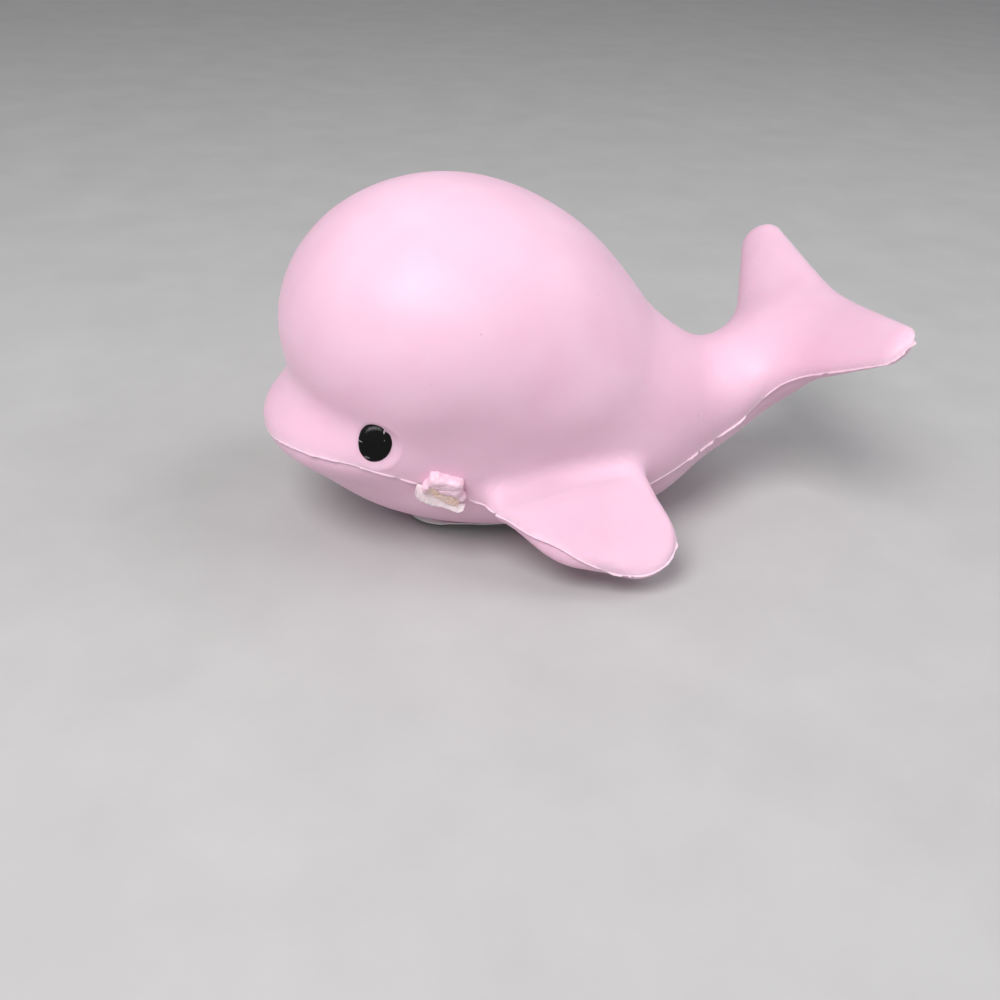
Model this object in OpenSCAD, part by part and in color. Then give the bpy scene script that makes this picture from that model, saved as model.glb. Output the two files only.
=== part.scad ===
// Soft moulded foam whale, a squeeze toy. Millimetres.
// Head towards -X, the whale's left side towards -Y, belly on z = 0.
// One foam casting inside a two-half mould coat; the coat halves meet at a
// parting line with a thin flash rib. The casting is divided where the soft
// body bends: crown, tail, two flukes, two flippers.

/* [Node] */
// Which node to draw

/* [Head and back] */
// Length position of the rounded back
dome_x = -21; // [-30:0.5:-12]
// Height of the centre of the rounded back
dome_z = 40.1; // [34:0.1:46]
// Half length of the rounded back
dome_len = 30.1; // [24:0.1:36]
// Half width of the rounded back
dome_wid = 29.1; // [24:0.1:34]
// Height of the back above its centre
dome_hgt = 25.4; // [20:0.1:32]

/* [Belly] */
// Length position of the belly's lowest point
hull_x = -9; // [-18:0.5:0]
// Half length of the belly bowl
hull_len = 40.4; // [32:0.1:46]
// Half width of the belly bowl
hull_wid = 24.9; // [22:0.1:32]
// Depth of the belly bowl
hull_dep = 22.1; // [18:0.1:26]

/* [Beak] */
// Length position of the beak bulge
lip_x = -34.9; // [-40:0.1:-28]
// Height of the beak bulge
lip_z = 22.7; // [18:0.1:28]
// Half length of the beak bulge
lip_len = 20.1; // [16:0.1:26]
// Half width of the beak bulge
lip_wid = 21.5; // [16:0.1:28]
// Half thickness of the beak bulge
lip_thk = 9.4; // [5:0.1:12]

/* [Trunk and tail stock] */
// Radius of the rear of the back
back_r = 24.1; // [18:0.1:28]
// Radius of the haunch
haunch_r = 15; // [10:0.1:20]
// Radius of the tail stock at its thinnest
stock_r = 8.3; // [6:0.1:12]
// Radius where the stock runs into the flukes
end_r = 5; // [4:0.1:10]
// Length position of the thinnest part of the stock
stock_x = 29.5; // [24:0.5:36]
// Height of the thinnest part of the stock
stock_z = 20.8; // [16:0.1:26]
// Width of the trunk over its height
trunk_wide = 1.1; // [0.9:0.01:1.3]
// Depth of the shallow hollow above a flipper
hollow = 1.2; // [0:0.1:2]

/* [Flukes] */
// Length position of the fluke root
fluke_x = 47.6; // [42:0.1:52]
// Height of the fluke root
fluke_z = 31.8; // [26:0.1:38]
// Sideways reach of the fluke axis
fluke_reach = 28.1; // [18:0.1:34]
// Rise of the fluke axis from root to tip
fluke_rise = 10.6; // [4:0.1:16]
// Backward sweep of the fluke axis
fluke_sweep = 4.6; // [0:0.1:12]
// Half chord at the fluke root
fluke_r1 = 12.1; // [8:0.1:15]
// Half chord near the fluke tip
fluke_r2 = 4.5; // [2.5:0.1:8]
// Thickness of the fluke over its chord
fluke_flat = 0.52; // [0.25:0.01:0.7]
// Rounding of the valley between the flukes
fluke_w = 6; // [1:0.1:10]

/* [Flippers] */
// Length position of the flipper axis at its root
flip_x1 = -0.3; // [-4:0.1:4]
// Sideways place of the flipper axis at its root
flip_y1 = 26.1; // [20:0.1:30]
// Height of the flipper axis at its root
flip_z1 = 15.3; // [10:0.1:20]
// Length position of the flipper axis near its tip
flip_x2 = 8.1; // [2:0.1:16]
// Sideways place of the flipper axis near its tip
flip_y2 = 31.5; // [26:0.1:38]
// Height of the flipper axis near its tip
flip_z2 = 9.4; // [5:0.1:14]
// Half chord at the flipper root
flip_r1 = 12.3; // [8:0.1:16]
// Half chord near the flipper tip
flip_r2 = 6.2; // [4:0.1:11]
// Half thickness at the flipper root
flip_t1 = 5; // [3:0.1:7]
// Half thickness near the flipper tip
flip_t2 = 1.8; // [1.2:0.1:4]
// Forward reach of the flipper's leading edge
flip_front = 12.7; // [8:0.1:16]
// Radius of the leading edge at its front end
flip_r3 = 4.5; // [3:0.1:7]
// Height of the straight root edge over the root's middle
flip_top = 5.4; // [4:0.1:9]

/* [Coat and flash] */
// Thickness of the mould coat
coat_t = 0.8; // [0.4:0.1:1.6]
// How far the flash stands out
flash_w = 0.7; // [0.3:0.1:1.5]
// Thickness of the flash
flash_t = 0.3; // [0.2:0.05:0.8]

/* [Crown] */
// Height of the flat under the crown block
crown_z = 48; // [44:0.5:54]
// Foam left around the crown block
crown_inset = 2; // [1.2:0.1:4]

/* [Eyes] */
// Length position of the eyes
eye_x = -37; // [-42:0.1:-30]
// Height of the eyes
eye_z = 27.3; // [22:0.1:34]
// Width of an eye
eye_w = 6; // [4:0.1:9]
// Height of an eye
eye_d = 7.6; // [5:0.1:10]
// How far an eye stands out
eye_h = 1; // [0.4:0.1:2]

/* [Gate stub] */
// Length position of the torn filling gate
gate_x = -25.4; // [-34:0.1:-18]
// Height of the torn filling gate
gate_z = 18; // [14:0.1:24]
// Length of the stub along the parting line
gate_len = 7.6; // [5:0.1:11]
// How far the stub stands out
gate_out = 2.6; // [1:0.1:4]

/* [Belly sticker] */
// Diameter of the blank sticker
sticker_d = 26; // [16:0.5:36]
// Thickness of the sticker
sticker_t = 0.25; // [0.1:0.05:0.4]
// Length position of the sticker
sticker_x = -15.5; // [-18:0.5:-6]

/* [Hidden] */
$fn = 64;
shift_x = -0.75;         // sets the middle of the whole length at x = 0
m = 40;                  // points round a section
h = m / 2;               // index of the far parting edge
hull_z = hull_dep - 0.3; // bowl bottom is pressed flat by 0.3 plus the sticker
back_p = [-6.1, 0, 30.8];
haunch_p = [11.9, 0, 17.9];
stock_p = [stock_x, 0, stock_z];
end_p = [46, 0, 30.2];
fl_a = [fluke_x, 0, fluke_z];
fl_b = [fluke_x + fluke_sweep, fluke_reach, fluke_z + fluke_rise];
fp_a = [flip_x1, flip_y1, flip_z1];
fp_b = [flip_x2, flip_y2, flip_z2];
function unit(v) = v / norm(v);
function square_to(n, u) = unit(n - (n * u) * u);
fl_n = square_to([-0.65, 0, 0.76], unit(fl_b - fl_a));
fp_n = square_to([-0.05, 0.74, 0.67], unit(fp_b - fp_a));
fp_l = norm(fp_b - fp_a);
fp_c = [-flip_front, flip_front * fp_n.x / fp_n.y, 0]; // front end of the leading edge, in the blade's plane

// height of the parting line along the body
function part_z(x) = lookup(x, [[-60, 22], [-38, 21.9], [-34.5, 20.7], [-28.5, 18.1], [-24.5, 16.8], [-21.5, 15.4], [-19, 14.3], [-17, 13.2], [-12, 12.4], [0, 12], [8, 12.4], [14, 13.8], [18.5, 15.2], [22.5, 16.4], [28, 17.6], [34.5, 20.3], [38, 23.8], [42.5, 28.7], [58, 42]]);

// ---- the outer surface, as distance fields ----
function smin(a, b, k) = let (q = max(k - abs(a - b), 0) / k) min(a, b) - q * q * k / 4;
function ell(p, c, r) =
  let (q = p - c, u = [q.x / r.x, q.y / r.y, q.z / r.z], v = [u.x / r.x, u.y / r.y, u.z / r.z], k1 = norm(v))
  k1 < 1e-9 ? -min(r) : norm(u) * (norm(u) - 1) / k1;
function rcone(p, a, b, r1, r2) =
  let (ba = b - a, l2 = ba * ba, rr = r1 - r2, a2 = l2 - rr * rr, pa = p - a, y = pa * ba, z = y - l2,
       w = pa * l2 - ba * y, x2 = w * w, y2 = y * y * l2, z2 = z * z * l2, k = sign(rr) * rr * rr * x2)
  sign(z) * a2 * z2 > k ? sqrt(x2 + z2) / l2 - r2 :
  sign(y) * a2 * y2 < k ? sqrt(x2 + y2) / l2 - r1 :
  (sqrt(x2 * a2 / l2) + y * rr) / l2 - r1;
function paddle(p, a, b, r1, r2, n, t) =
  let (q = p - a) t * rcone(q + n * ((q * n) * (1 / t - 1)), [0, 0, 0], b - a, r1, r2);
// flat blade with a rounded rim, thinner towards its tip
function blade(p) =
  let (q = p - fp_a, g = q * fp_n, f = q - fp_n * g, ax = fp_b - fp_a,
       o = smin(rcone(f, [0, 0, 0], ax, flip_r1, flip_r2), rcone(f, fp_c, ax, flip_r3, flip_r2), 4),
       d = -smin(-o, flip_top - f * [0, -0.65, 0.76], 5),
       w = min(max((f * ax / fp_l + 1.6 * fp_l) / (3 * fp_l), 0), 1),
       t = flip_t1 - (flip_t1 - flip_t2) * w * w * (3 - 2 * w))
  norm([max(d + t, 0), g]) - t;
function rear(p) =
  let (q = [p.x, p.y / trunk_wide, p.z])
  smin(smin(rcone(q, back_p, haunch_p, back_r, haunch_r), rcone(q, haunch_p, stock_p, haunch_r, stock_r), 6),
       rcone(q, stock_p, end_p, stock_r, end_r), 6);
function trunk(p) =
  smin(smin(smin(ell(p, [dome_x, 0, dome_z], [dome_len, dome_wid, dome_hgt]),
                 ell(p, [hull_x, 0, hull_z], [hull_len, hull_wid, hull_dep]), 7),
            rear(p), 8),
       ell(p, [lip_x, 0, lip_z], [lip_len, lip_wid, lip_thk]), 4.5)
  + hollow * exp(-pow((p.x + 3) / 17, 2) - pow((p.z - 24) / 7, 2)) * min(max((p.y - 8) / 8, 0), 1);
// kind 0: trunk only, 1: with the flukes, 2: with the flippers
function sd(p, kind) =
  let (s = [p.x, abs(p.y), p.z], t = trunk(s))
  kind == 0 ? t :
  kind == 1 ? smin(t, paddle([s.x, norm([s.y, fluke_w]), s.z], fl_a, fl_b, fluke_r1, fluke_r2, fl_n, fluke_flat), 10.5) :
  smin(t, blade(s), 3.8);
function cast(o, d, kind, a, b, n) =
  n == 0 ? (a + b) / 2 :
  let (c = (a + b) / 2) sd(o + c * d, kind) < 0 ? cast(o, d, kind, c, b, n - 1) : cast(o, d, kind, a, c, n - 1);
function slope(p, kind) =
  let (e = 0.05)
  unit([sd(p + [e, 0, 0], kind) - sd(p - [e, 0, 0], kind),
        sd(p + [0, e, 0], kind) - sd(p - [0, e, 0], kind),
        sd(p + [0, 0, e], kind) - sd(p - [0, 0, e], kind)]);

// ---- sections: [origin, side axis, up axis, pole axis, lean, side stretch, kind, |y| limit, longest reach] ----
function ray(f, j) =
  let (t = 360 * j / m, s = unit(f[1] * (cos(t) * f[5]) + f[2] * sin(t)))
  s * cos(f[4]) + f[3] * sin(f[4]);
function reach(f, d) =
  min(cast(f[0], d, f[6], 0, f[8], 14),
      d.z < -0.001 ? (sticker_t - f[0].z) / d.z : 999,
      abs(d.y) > 0.001 ? (f[7] - abs(f[0].y)) / abs(d.y) : 999);
function rays(f) = [for (j = [0 : m - 1]) ray(f, j)];
// each ring keeps its directions and reaches, so coat and foam share points
function ring(f) = let (d = rays(f)) [f[0], d, [for (v = d) reach(f, v)]];
function pole(f) = [f[0], [f[3]], [reach(f, f[3])]];
function pts(r, off) = [for (j = [0 : len(r[1]) - 1]) r[0] + r[1][j] * (r[2][j] - off)];
function pts_under(r, off, top) =
  [for (j = [0 : len(r[1]) - 1])
     let (d = r[1][j]) r[0] + d * min(r[2][j] - off, d.z > 0.001 ? (top - r[0].z) / d.z : 999)];
function flat(l) = [for (a = l) for (b = a) b];

// ---- closed meshes from rings; ring 0 is the pole ----
module solid(p0, rings, p1) {
  n = len(rings);
  e = 1 + n * m;
  function id(i, j) = 1 + i * m + (j % m);
  polyhedron(
    points = concat([p0], flat(rings), [p1]),
    faces = concat(
      [for (j = [0 : m - 1]) [0, id(0, j + 1), id(0, j)]],
      [for (i = [0 : n - 2]) for (j = [0 : m - 1]) [id(i, j), id(i, j + 1), id(i + 1, j + 1)]],
      [for (i = [0 : n - 2]) for (j = [0 : m - 1]) [id(i, j), id(i + 1, j + 1), id(i + 1, j)]],
      [for (j = [0 : m - 1]) [e, id(n - 1, j), id(n - 1, j + 1)]]), convexity = 6);
}
// coat over the columns a..b of the rings
module coat(pole_ring, rr, a, b) {
  n = len(rr);
  w = b - a + 1;
  mo = 1 + n * w;
  function row(r, off) = let (q = pts(r, off)) [for (k = [a : b]) q[k % m]];
  function o(i, k) = i == 0 ? 0 : 1 + (i - 1) * w + k;
  function u(i, k) = mo + o(i, k);
  z = w - 1;
  polyhedron(
    points = concat(pts(pole_ring, 0), flat([for (r = rr) row(r, 0)]), pts(pole_ring, coat_t), flat([for (r = rr) row(r, coat_t)])),
    faces = concat(
      flat([for (k = [0 : z - 1]) [[0, o(1, k + 1), o(1, k)], [mo, u(1, k), u(1, k + 1)]]]),
      flat([for (i = [1 : n - 1]) for (k = [0 : z - 1])
        [[o(i, k), o(i, k + 1), o(i + 1, k + 1)], [o(i, k), o(i + 1, k + 1), o(i + 1, k)],
         [u(i, k), u(i + 1, k + 1), u(i, k + 1)], [u(i, k), u(i + 1, k), u(i + 1, k + 1)]]]),
      flat([for (i = [0 : n - 1])
        [[o(i, 0), o(i + 1, 0), u(i + 1, 0)], [o(i, 0), u(i + 1, 0), u(i, 0)],
         [o(i + 1, z), o(i, z), u(i, z)], [o(i + 1, z), u(i, z), u(i + 1, z)]]]),
      flat([for (k = [0 : z - 1])
        [[o(n, k), o(n, k + 1), u(n, k + 1)], [o(n, k), u(n, k + 1), u(n, k)]]])), convexity = 6);
}
// thin rib along [point, outward, up] stations
module rib(path, g = 0.1) {
  n = len(path);
  function sec(s) = [for (c = [[g, -1], [g + flash_w, -1], [g + flash_w, 1], [g, 1]]) s[0] + s[1] * c[0] + s[2] * (c[1] * flash_t / 2)];
  function id(k, j) = 4 * k + (j % 4);
  polyhedron(
    points = flat([for (s = path) sec(s)]),
    faces = concat(
      flat([for (k = [0 : n - 2]) for (j = [0 : 3])
        [[id(k, j), id(k + 1, j), id(k + 1, j + 1)], [id(k, j), id(k + 1, j + 1), id(k, j + 1)]]]),
      [[id(0, 0), id(0, 1), id(0, 2)], [id(0, 0), id(0, 2), id(0, 3)],
       [id(n - 1, 0), id(n - 1, 2), id(n - 1, 1)], [id(n - 1, 0), id(n - 1, 3), id(n - 1, 2)]]), convexity = 6);
}
function edge(r, j, up) = [r[0] + r[1][j] * r[2][j], r[1][j], up];

// ---- body: pole at the nose, open end towards the tail ----
body_end = 25;
nose_x = -38;
function body_frame(x, lean) = [[x, 0, part_z(x)], [0, -1, 0], [0, 0, 1], [-1, 0, 0], lean, 1, 0, 99, 52];
body_x = concat([for (a = [80 : -10 : 10]) [nose_x, a]], [for (x = [nose_x : 3 : body_end]) [x, 0]]);
function body_rings() = [for (s = body_x) ring(body_frame(s[0], s[1]))];
function nose() = pole(body_frame(nose_x, 90));

module core_body() color("#efe3c4") {
  rr = body_rings();
  solid(pts(nose(), coat_t)[0], [for (r = rr) pts_under(r, coat_t, crown_z - 0.3)], [body_end, 0, part_z(body_end)]);
}
module skin_upper() color("#f0c3d4") coat(nose(), body_rings(), 0, h);
module skin_lower() color("#f0c3d4") coat(nose(), body_rings(), h, m);

// crown: dome block of foam over a flat cut
crown_o = [dome_x + 4, 0, crown_z];
module core_crown() color("#efe3c4") {
  rr = [for (a = [75 : -15 : 0]) ring([crown_o, [0, -1, 0], [-1, 0, 0], [0, 0, 1], a, 1, 0, 99, 52])];
  top = pole([crown_o, [0, -1, 0], [-1, 0, 0], [0, 0, 1], 90, 1, 0, 99, 52]);
  solid(pts(top, crown_inset)[0], [for (r = rr) pts(r, crown_inset)], crown_o);
}

module flash_head() color("#f6d5e0") {
  rr = body_rings();
  n = len(rr);
  up = [0, 0, 1];
  left = [for (i = [n - 1 : -1 : 0]) if (body_x[i][0] < gate_x - gate_len / 2 - 1) edge(rr[i], 0, up)];
  right = [for (i = [0 : n - 1]) if (body_x[i][0] < -13) edge(rr[i], h, up)];
  rib(concat(left, [edge(nose(), 0, up)], right));
}
module flash_side_left() color("#f6d5e0") {
  rr = body_rings();
  rib([for (i = [len(rr) - 1 : -1 : 0]) if (body_x[i][0] > gate_x + gate_len / 2 + 1 && body_x[i][0] < -13) edge(rr[i], 0, [0, 0, 1])]);
}

module flash_rear(j) {
  rr = body_rings();
  s = [for (i = [0 : len(rr) - 1]) if (body_x[i][0] > 15) edge(rr[i], j, [0, 0, 1])];
  rib(j == h ? s : [for (i = [len(s) - 1 : -1 : 0]) s[i]]);
}
module flash_rear_left() color("#f6d5e0") flash_rear(0);
module flash_rear_right() color("#f6d5e0") flash_rear(h);

// things that sit on the outer surface: x down, y along, z outward
module on_side(x, z) {
  y = cast([x, 0, z], [0, -1, 0], 0, 0, 52, 14);
  n = slope([x, -y, z], 0);
  translate([x, -y, z]) rotate([0, acos(n.z), atan2(n.y, n.x)]) children();
}
// domed eye whose back follows the coat
module eye() {
  c = [eye_x, -cast([eye_x, 0, eye_z], [0, -1, 0], 0, 0, 52, 14), eye_z];
  n = slope(c, 0);
  side = unit(cross([0, 0, 1], n));
  up = cross(n, side);
  function at(f, j, rise) =
    let (t = 360 * j / m, p = c + (side * (cos(t) * eye_w) + up * (sin(t) * eye_d)) * (f / 2), d = cast(p - n * 30, n, 0, 0, 60, 16))
    p + n * (d - 30 + rise);
  function row(f, rise) = [for (j = [0 : m - 1]) at(f, j, rise)];
  solid(at(0, 0, eye_h), [row(0.4, eye_h * 0.96), row(0.75, eye_h * 0.84), row(1, 0.6), row(0.98, 0.4), row(0.5, 0.4)], at(0, 0, 0.4));
}
module eye_left() color("#121214") eye();
module eye_right() color("#121214") mirror([0, 1, 0]) eye();

// torn filling gate: foam strip, coat lump above it, loose coat flap below it
module gate_foam() color("#e3cfa6") on_side(gate_x, gate_z) translate([0, 0, 0.35])
  linear_extrude(height = gate_out)
    polygon([[-1.3, -gate_len * 0.42], [-0.9, gate_len * 0.1], [-1.2, gate_len * 0.36], [0.2, gate_len * 0.5], [1.3, gate_len * 0.4], [1.0, -gate_len * 0.1], [1.3, -gate_len * 0.36], [0.1, -gate_len * 0.5]]);
module gate_lump() color("#f0c3d4") on_side(gate_x, gate_z) translate([0, 0, 0.35])
  linear_extrude(height = gate_out + 0.3)
    polygon([[-1.45, -gate_len * 0.45], [-3.0, -gate_len * 0.5], [-3.9, -gate_len * 0.2], [-3.4, gate_len * 0.15], [-4.1, gate_len * 0.4], [-2.6, gate_len * 0.55], [-1.45, gate_len * 0.45]]);
module gate_flap() color("#f6e6e4") on_side(gate_x, gate_z) translate([0, 0, 0.35])
  linear_extrude(height = 0.7)
    polygon([[1.45, -gate_len * 0.42], [1.45, gate_len * 0.46], [3.6, gate_len * 0.5], [5.2, gate_len * 0.25], [4.2, 0], [4.9, -gate_len * 0.25], [3.0, -gate_len * 0.4]]);

// blank round sticker under the flattened belly
module belly_sticker() color("#f4f4f2")
  translate([sticker_x, 0, 0]) cylinder(d = sticker_d, h = sticker_t - 0.02, $fn = 96);

// ---- tail: pole at the notch, open end towards the body ----
tail_start = 34;
tail_last = 46;
tail_half = 11;
function tail_frame(x, lean) = [[x, 0, part_z(x)], [0, 1, 0], [0, 0, 1], [1, 0, 0], lean, 1, 1, x < 37 ? 99 : tail_half, 30];
tail_x = concat([for (a = [75 : -15 : 15]) [tail_last, a]], [for (x = [tail_last : -2 : tail_start]) [x, 0]]);
function tail_rings() = [for (s = tail_x) ring(tail_frame(s[0], s[1]))];
function notch() = pole(tail_frame(tail_last, 90));
module core_tail() color("#efe3c4") {
  rr = tail_rings();
  solid(pts(notch(), coat_t)[0], [for (r = rr) pts(r, coat_t)], [tail_start, 0, part_z(tail_start)]);
}
module skin_tail_upper() color("#f0c3d4") coat(notch(), tail_rings(), 0, h);
module skin_tail_lower() color("#f0c3d4") coat(notch(), tail_rings(), h, m);
module flash_tail(j) {
  rr = [for (x = [tail_start : 1.25 : 39]) ring([[x, 0, part_z(x)], [0, 1, 0], [0, 0, 1], [1, 0, 0], 0, 1, 1, 99, 30])];
  s = [for (r = rr) edge(r, j, [0, 0, 1])];
  rib(j == 0 ? s : [for (i = [len(s) - 1 : -1 : 0]) s[i]]);
}
module flash_tail_left() color("#f6d5e0") flash_tail(h);
module flash_tail_right() color("#f6d5e0") flash_tail(0);
// bending zone between body and tail
module tail_root() color("#f0c3d4") {
  xs = [tail_start - 0.3 : -2.1 : body_end + 0.2];
  rr = [for (x = xs) ring(tail_frame(x, 0))];
  n = len(rr);
  wide = [for (r = rr) pts([r[0], r[1], [for (d = r[1]) cast(r[0], d, 0, 0, 52, 14)]], 0)];
  solid(rr[0][0], wide, rr[n - 1][0]);
}

// ---- flukes: left lobe, mirrored for the right; pole at the tip ----
lobe_start = 14.5;
lobe_last = 26;
fl_c = [0.76, 0, 0.65];
fl_up = unit([-0.65, 0, 0.76]);
function lobe_o(y) = let (w = norm([y, fluke_w]) / fl_b.y) [fl_a.x + (fl_b.x - fl_a.x) * w, -y, fl_a.z + (fl_b.z - fl_a.z) * w];
function lobe_frame(y, lean) = [lobe_o(y), unit(fl_c), fl_up, [0, -1, 0], lean, 2.2, 1, 99, 16];
lobe_y = concat([for (a = [72 : -18 : 18]) [lobe_last, a]], [for (y = [lobe_last : -2.3 : lobe_start]) [y, 0]]);
function lobe_rings() = [for (s = lobe_y) ring(lobe_frame(s[0], s[1]))];
function lobe_tip() = pole(lobe_frame(lobe_last, 90));
module core_fluke() {
  solid(pts(lobe_tip(), coat_t)[0], [for (r = lobe_rings()) pts(r, coat_t)], lobe_o(lobe_start));
}
module skin_fluke(a, b) coat(lobe_tip(), lobe_rings(), a, b);
module flash_fluke() {
  rr = lobe_rings();
  n = len(rr);
  rib(concat([for (i = [n - 1 : -1 : 0]) edge(rr[i], 0, fl_up)], [edge(lobe_tip(), 0, fl_up)], [for (i = [0 : n - 1]) edge(rr[i], h, fl_up)]), 0.25);
}
module fluke_root() {
  rr = [for (y = [lobe_start - 0.25 : -1 : tail_half + 0.25]) ring(lobe_frame(y, 0))];
  solid(rr[0][0], [for (r = rr) pts(r, 0)], rr[len(rr) - 1][0]);
}
module core_fluke_left() color("#efe3c4") core_fluke();
module skin_fluke_left_upper() color("#f0c3d4") skin_fluke(0, h);
module skin_fluke_left_lower() color("#f0c3d4") skin_fluke(h, m);
module flash_fluke_left() color("#f6d5e0") flash_fluke();
module fluke_root_left() color("#f0c3d4") fluke_root();
module core_fluke_right() color("#efe3c4") mirror([0, 1, 0]) core_fluke();
module skin_fluke_right_upper() color("#f0c3d4") mirror([0, 1, 0]) skin_fluke(0, h);
module skin_fluke_right_lower() color("#f0c3d4") mirror([0, 1, 0]) skin_fluke(h, m);
module flash_fluke_right() color("#f6d5e0") mirror([0, 1, 0]) flash_fluke();
module fluke_root_right() color("#f0c3d4") mirror([0, 1, 0]) fluke_root();

// ---- flippers: left one, mirrored for the right; pole at the tip ----
flip_at = [3, 0, 12];    // where the trunk carries the flipper
flip_gap = 3.4;          // bending zone between trunk and flipper
flip_p = [flip_at.x, -cast(flip_at, [0, -1, 0], 0, 0, 52, 14), flip_at.z];
flip_out = slope(flip_p, 0);
flip_up = square_to([0, 0, 1], flip_out);
flip_e = cross(flip_up, flip_out);
fp_al = [fp_a.x, -fp_a.y, fp_a.z];
fp_bl = [fp_b.x, -fp_b.y, fp_b.z];
// point of the flipper axis at distance s outside the trunk's tangent plane
function flip_o(s) = let (ha = (fp_al - flip_p) * flip_out, hb = (fp_bl - flip_p) * flip_out) fp_al + (fp_bl - fp_al) * ((s - ha) / (hb - ha));
flip_last = (fp_bl - flip_p) * flip_out;
function flip_frame(s, lean) = [flip_o(s), flip_e, flip_up, flip_out, lean, 2.4, 2, 99, 26];
flip_s = concat([for (a = [75 : -15 : 15]) [flip_last, a]], [for (q = [0 : 2]) [flip_last + (flip_gap - flip_last) * q / 2, 0]]);
function flip_rings() = [for (s = flip_s) ring(flip_frame(s[0], s[1]))];
function flip_tip() = pole(flip_frame(flip_last, 90));
module core_flipper() {
  solid(pts(flip_tip(), coat_t)[0], [for (r = flip_rings()) pts(r, coat_t)], flip_o(flip_gap));
}
module skin_flipper(a, b) coat(flip_tip(), flip_rings(), a, b);
module flash_flipper() {
  rr = flip_rings();
  n = len(rr);
  rib(concat([for (i = [n - 1 : -1 : 0]) edge(rr[i], 0, flip_up)], [edge(flip_tip(), 0, flip_up)], [for (i = [0 : n - 1]) edge(rr[i], h, flip_up)]), 0.6);
}
module flipper_root() {
  outer = pts(ring(flip_frame(flip_gap - 0.3, 0)), 0);
  c = flip_o(flip_gap - 0.3);
  function inward(p) = let (d = cast(p - flip_out * 30, flip_out, 0, 0, 60, 16)) p - flip_out * (30 - d - 0.2);
  inner = [for (p = outer) inward(p)];
  mid = [for (p = outer) inward(c + (p - c) * 0.5)];
  solid(c, [outer, inner, mid], inward(c));
}
module core_flipper_left() color("#efe3c4") core_flipper();
module skin_flipper_left_upper() color("#f0c3d4") skin_flipper(0, h);
module skin_flipper_left_lower() color("#f0c3d4") skin_flipper(h, m);
module flash_flipper_left() color("#f6d5e0") flash_flipper();
module flipper_root_left() color("#f0c3d4") flipper_root();
module core_flipper_right() color("#efe3c4") mirror([0, 1, 0]) core_flipper();
module skin_flipper_right_upper() color("#f0c3d4") mirror([0, 1, 0]) skin_flipper(0, h);
module skin_flipper_right_lower() color("#f0c3d4") mirror([0, 1, 0]) skin_flipper(h, m);
module flash_flipper_right() color("#f6d5e0") mirror([0, 1, 0]) flash_flipper();
module flipper_root_right() color("#f0c3d4") mirror([0, 1, 0]) flipper_root();

module placed() translate([shift_x, 0, 0]) children();

placed() core_body();
placed() core_crown();
placed() skin_upper();
placed() skin_lower();
placed() flash_head();
placed() flash_side_left();
placed() flash_rear_left();
placed() flash_rear_right();
placed() eye_left();
placed() eye_right();
placed() gate_foam();
placed() gate_lump();
placed() gate_flap();
placed() belly_sticker();
placed() tail_root();
placed() core_tail();
placed() skin_tail_upper();
placed() skin_tail_lower();
placed() flash_tail_left();
placed() flash_tail_right();
placed() fluke_root_left();
placed() core_fluke_left();
placed() skin_fluke_left_upper();
placed() skin_fluke_left_lower();
placed() flash_fluke_left();
placed() fluke_root_right();
placed() core_fluke_right();
placed() skin_fluke_right_upper();
placed() skin_fluke_right_lower();
placed() flash_fluke_right();
placed() flipper_root_left();
placed() core_flipper_left();
placed() skin_flipper_left_upper();
placed() skin_flipper_left_lower();
placed() flash_flipper_left();
placed() flipper_root_right();
placed() core_flipper_right();
placed() skin_flipper_right_upper();
placed() skin_flipper_right_lower();
placed() flash_flipper_right();
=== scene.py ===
import math

import bpy
import numpy as np
from mathutils import Matrix, Vector

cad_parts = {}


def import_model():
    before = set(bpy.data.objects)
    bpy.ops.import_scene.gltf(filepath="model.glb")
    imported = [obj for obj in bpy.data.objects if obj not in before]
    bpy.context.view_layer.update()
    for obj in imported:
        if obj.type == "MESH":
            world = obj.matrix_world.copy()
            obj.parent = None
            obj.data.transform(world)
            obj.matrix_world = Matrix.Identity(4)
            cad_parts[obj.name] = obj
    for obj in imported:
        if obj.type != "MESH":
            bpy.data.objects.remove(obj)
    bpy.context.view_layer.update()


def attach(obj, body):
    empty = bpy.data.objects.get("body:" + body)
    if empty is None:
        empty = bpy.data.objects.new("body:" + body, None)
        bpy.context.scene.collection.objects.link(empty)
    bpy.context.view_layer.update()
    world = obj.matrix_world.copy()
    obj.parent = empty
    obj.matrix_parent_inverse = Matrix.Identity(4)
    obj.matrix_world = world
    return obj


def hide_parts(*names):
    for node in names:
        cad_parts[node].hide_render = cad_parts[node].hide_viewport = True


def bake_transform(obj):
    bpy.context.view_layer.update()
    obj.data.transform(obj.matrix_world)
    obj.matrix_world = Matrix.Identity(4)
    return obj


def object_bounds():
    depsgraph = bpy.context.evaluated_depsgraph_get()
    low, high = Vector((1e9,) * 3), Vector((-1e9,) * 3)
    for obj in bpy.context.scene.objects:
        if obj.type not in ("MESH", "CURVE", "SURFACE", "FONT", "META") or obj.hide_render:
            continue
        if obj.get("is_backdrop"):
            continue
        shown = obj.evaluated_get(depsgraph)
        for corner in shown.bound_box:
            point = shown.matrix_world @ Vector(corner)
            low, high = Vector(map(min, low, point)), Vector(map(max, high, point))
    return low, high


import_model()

STEP = 0.75
OFF = np.array([0.75, 0.0, 0.0])


def world(p):
    return (np.asarray(p, float) - OFF) * 0.001


# ---------------------------------------------------------------- body surface
def unit(v):
    v = np.asarray(v, float)
    return v / np.maximum(np.linalg.norm(v, axis=-1, keepdims=True), 1e-12)


def smin(a, b, k):
    h = np.maximum(k - np.abs(a - b), 0) / k
    return np.minimum(a, b) - h * h * k * 0.25


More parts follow.
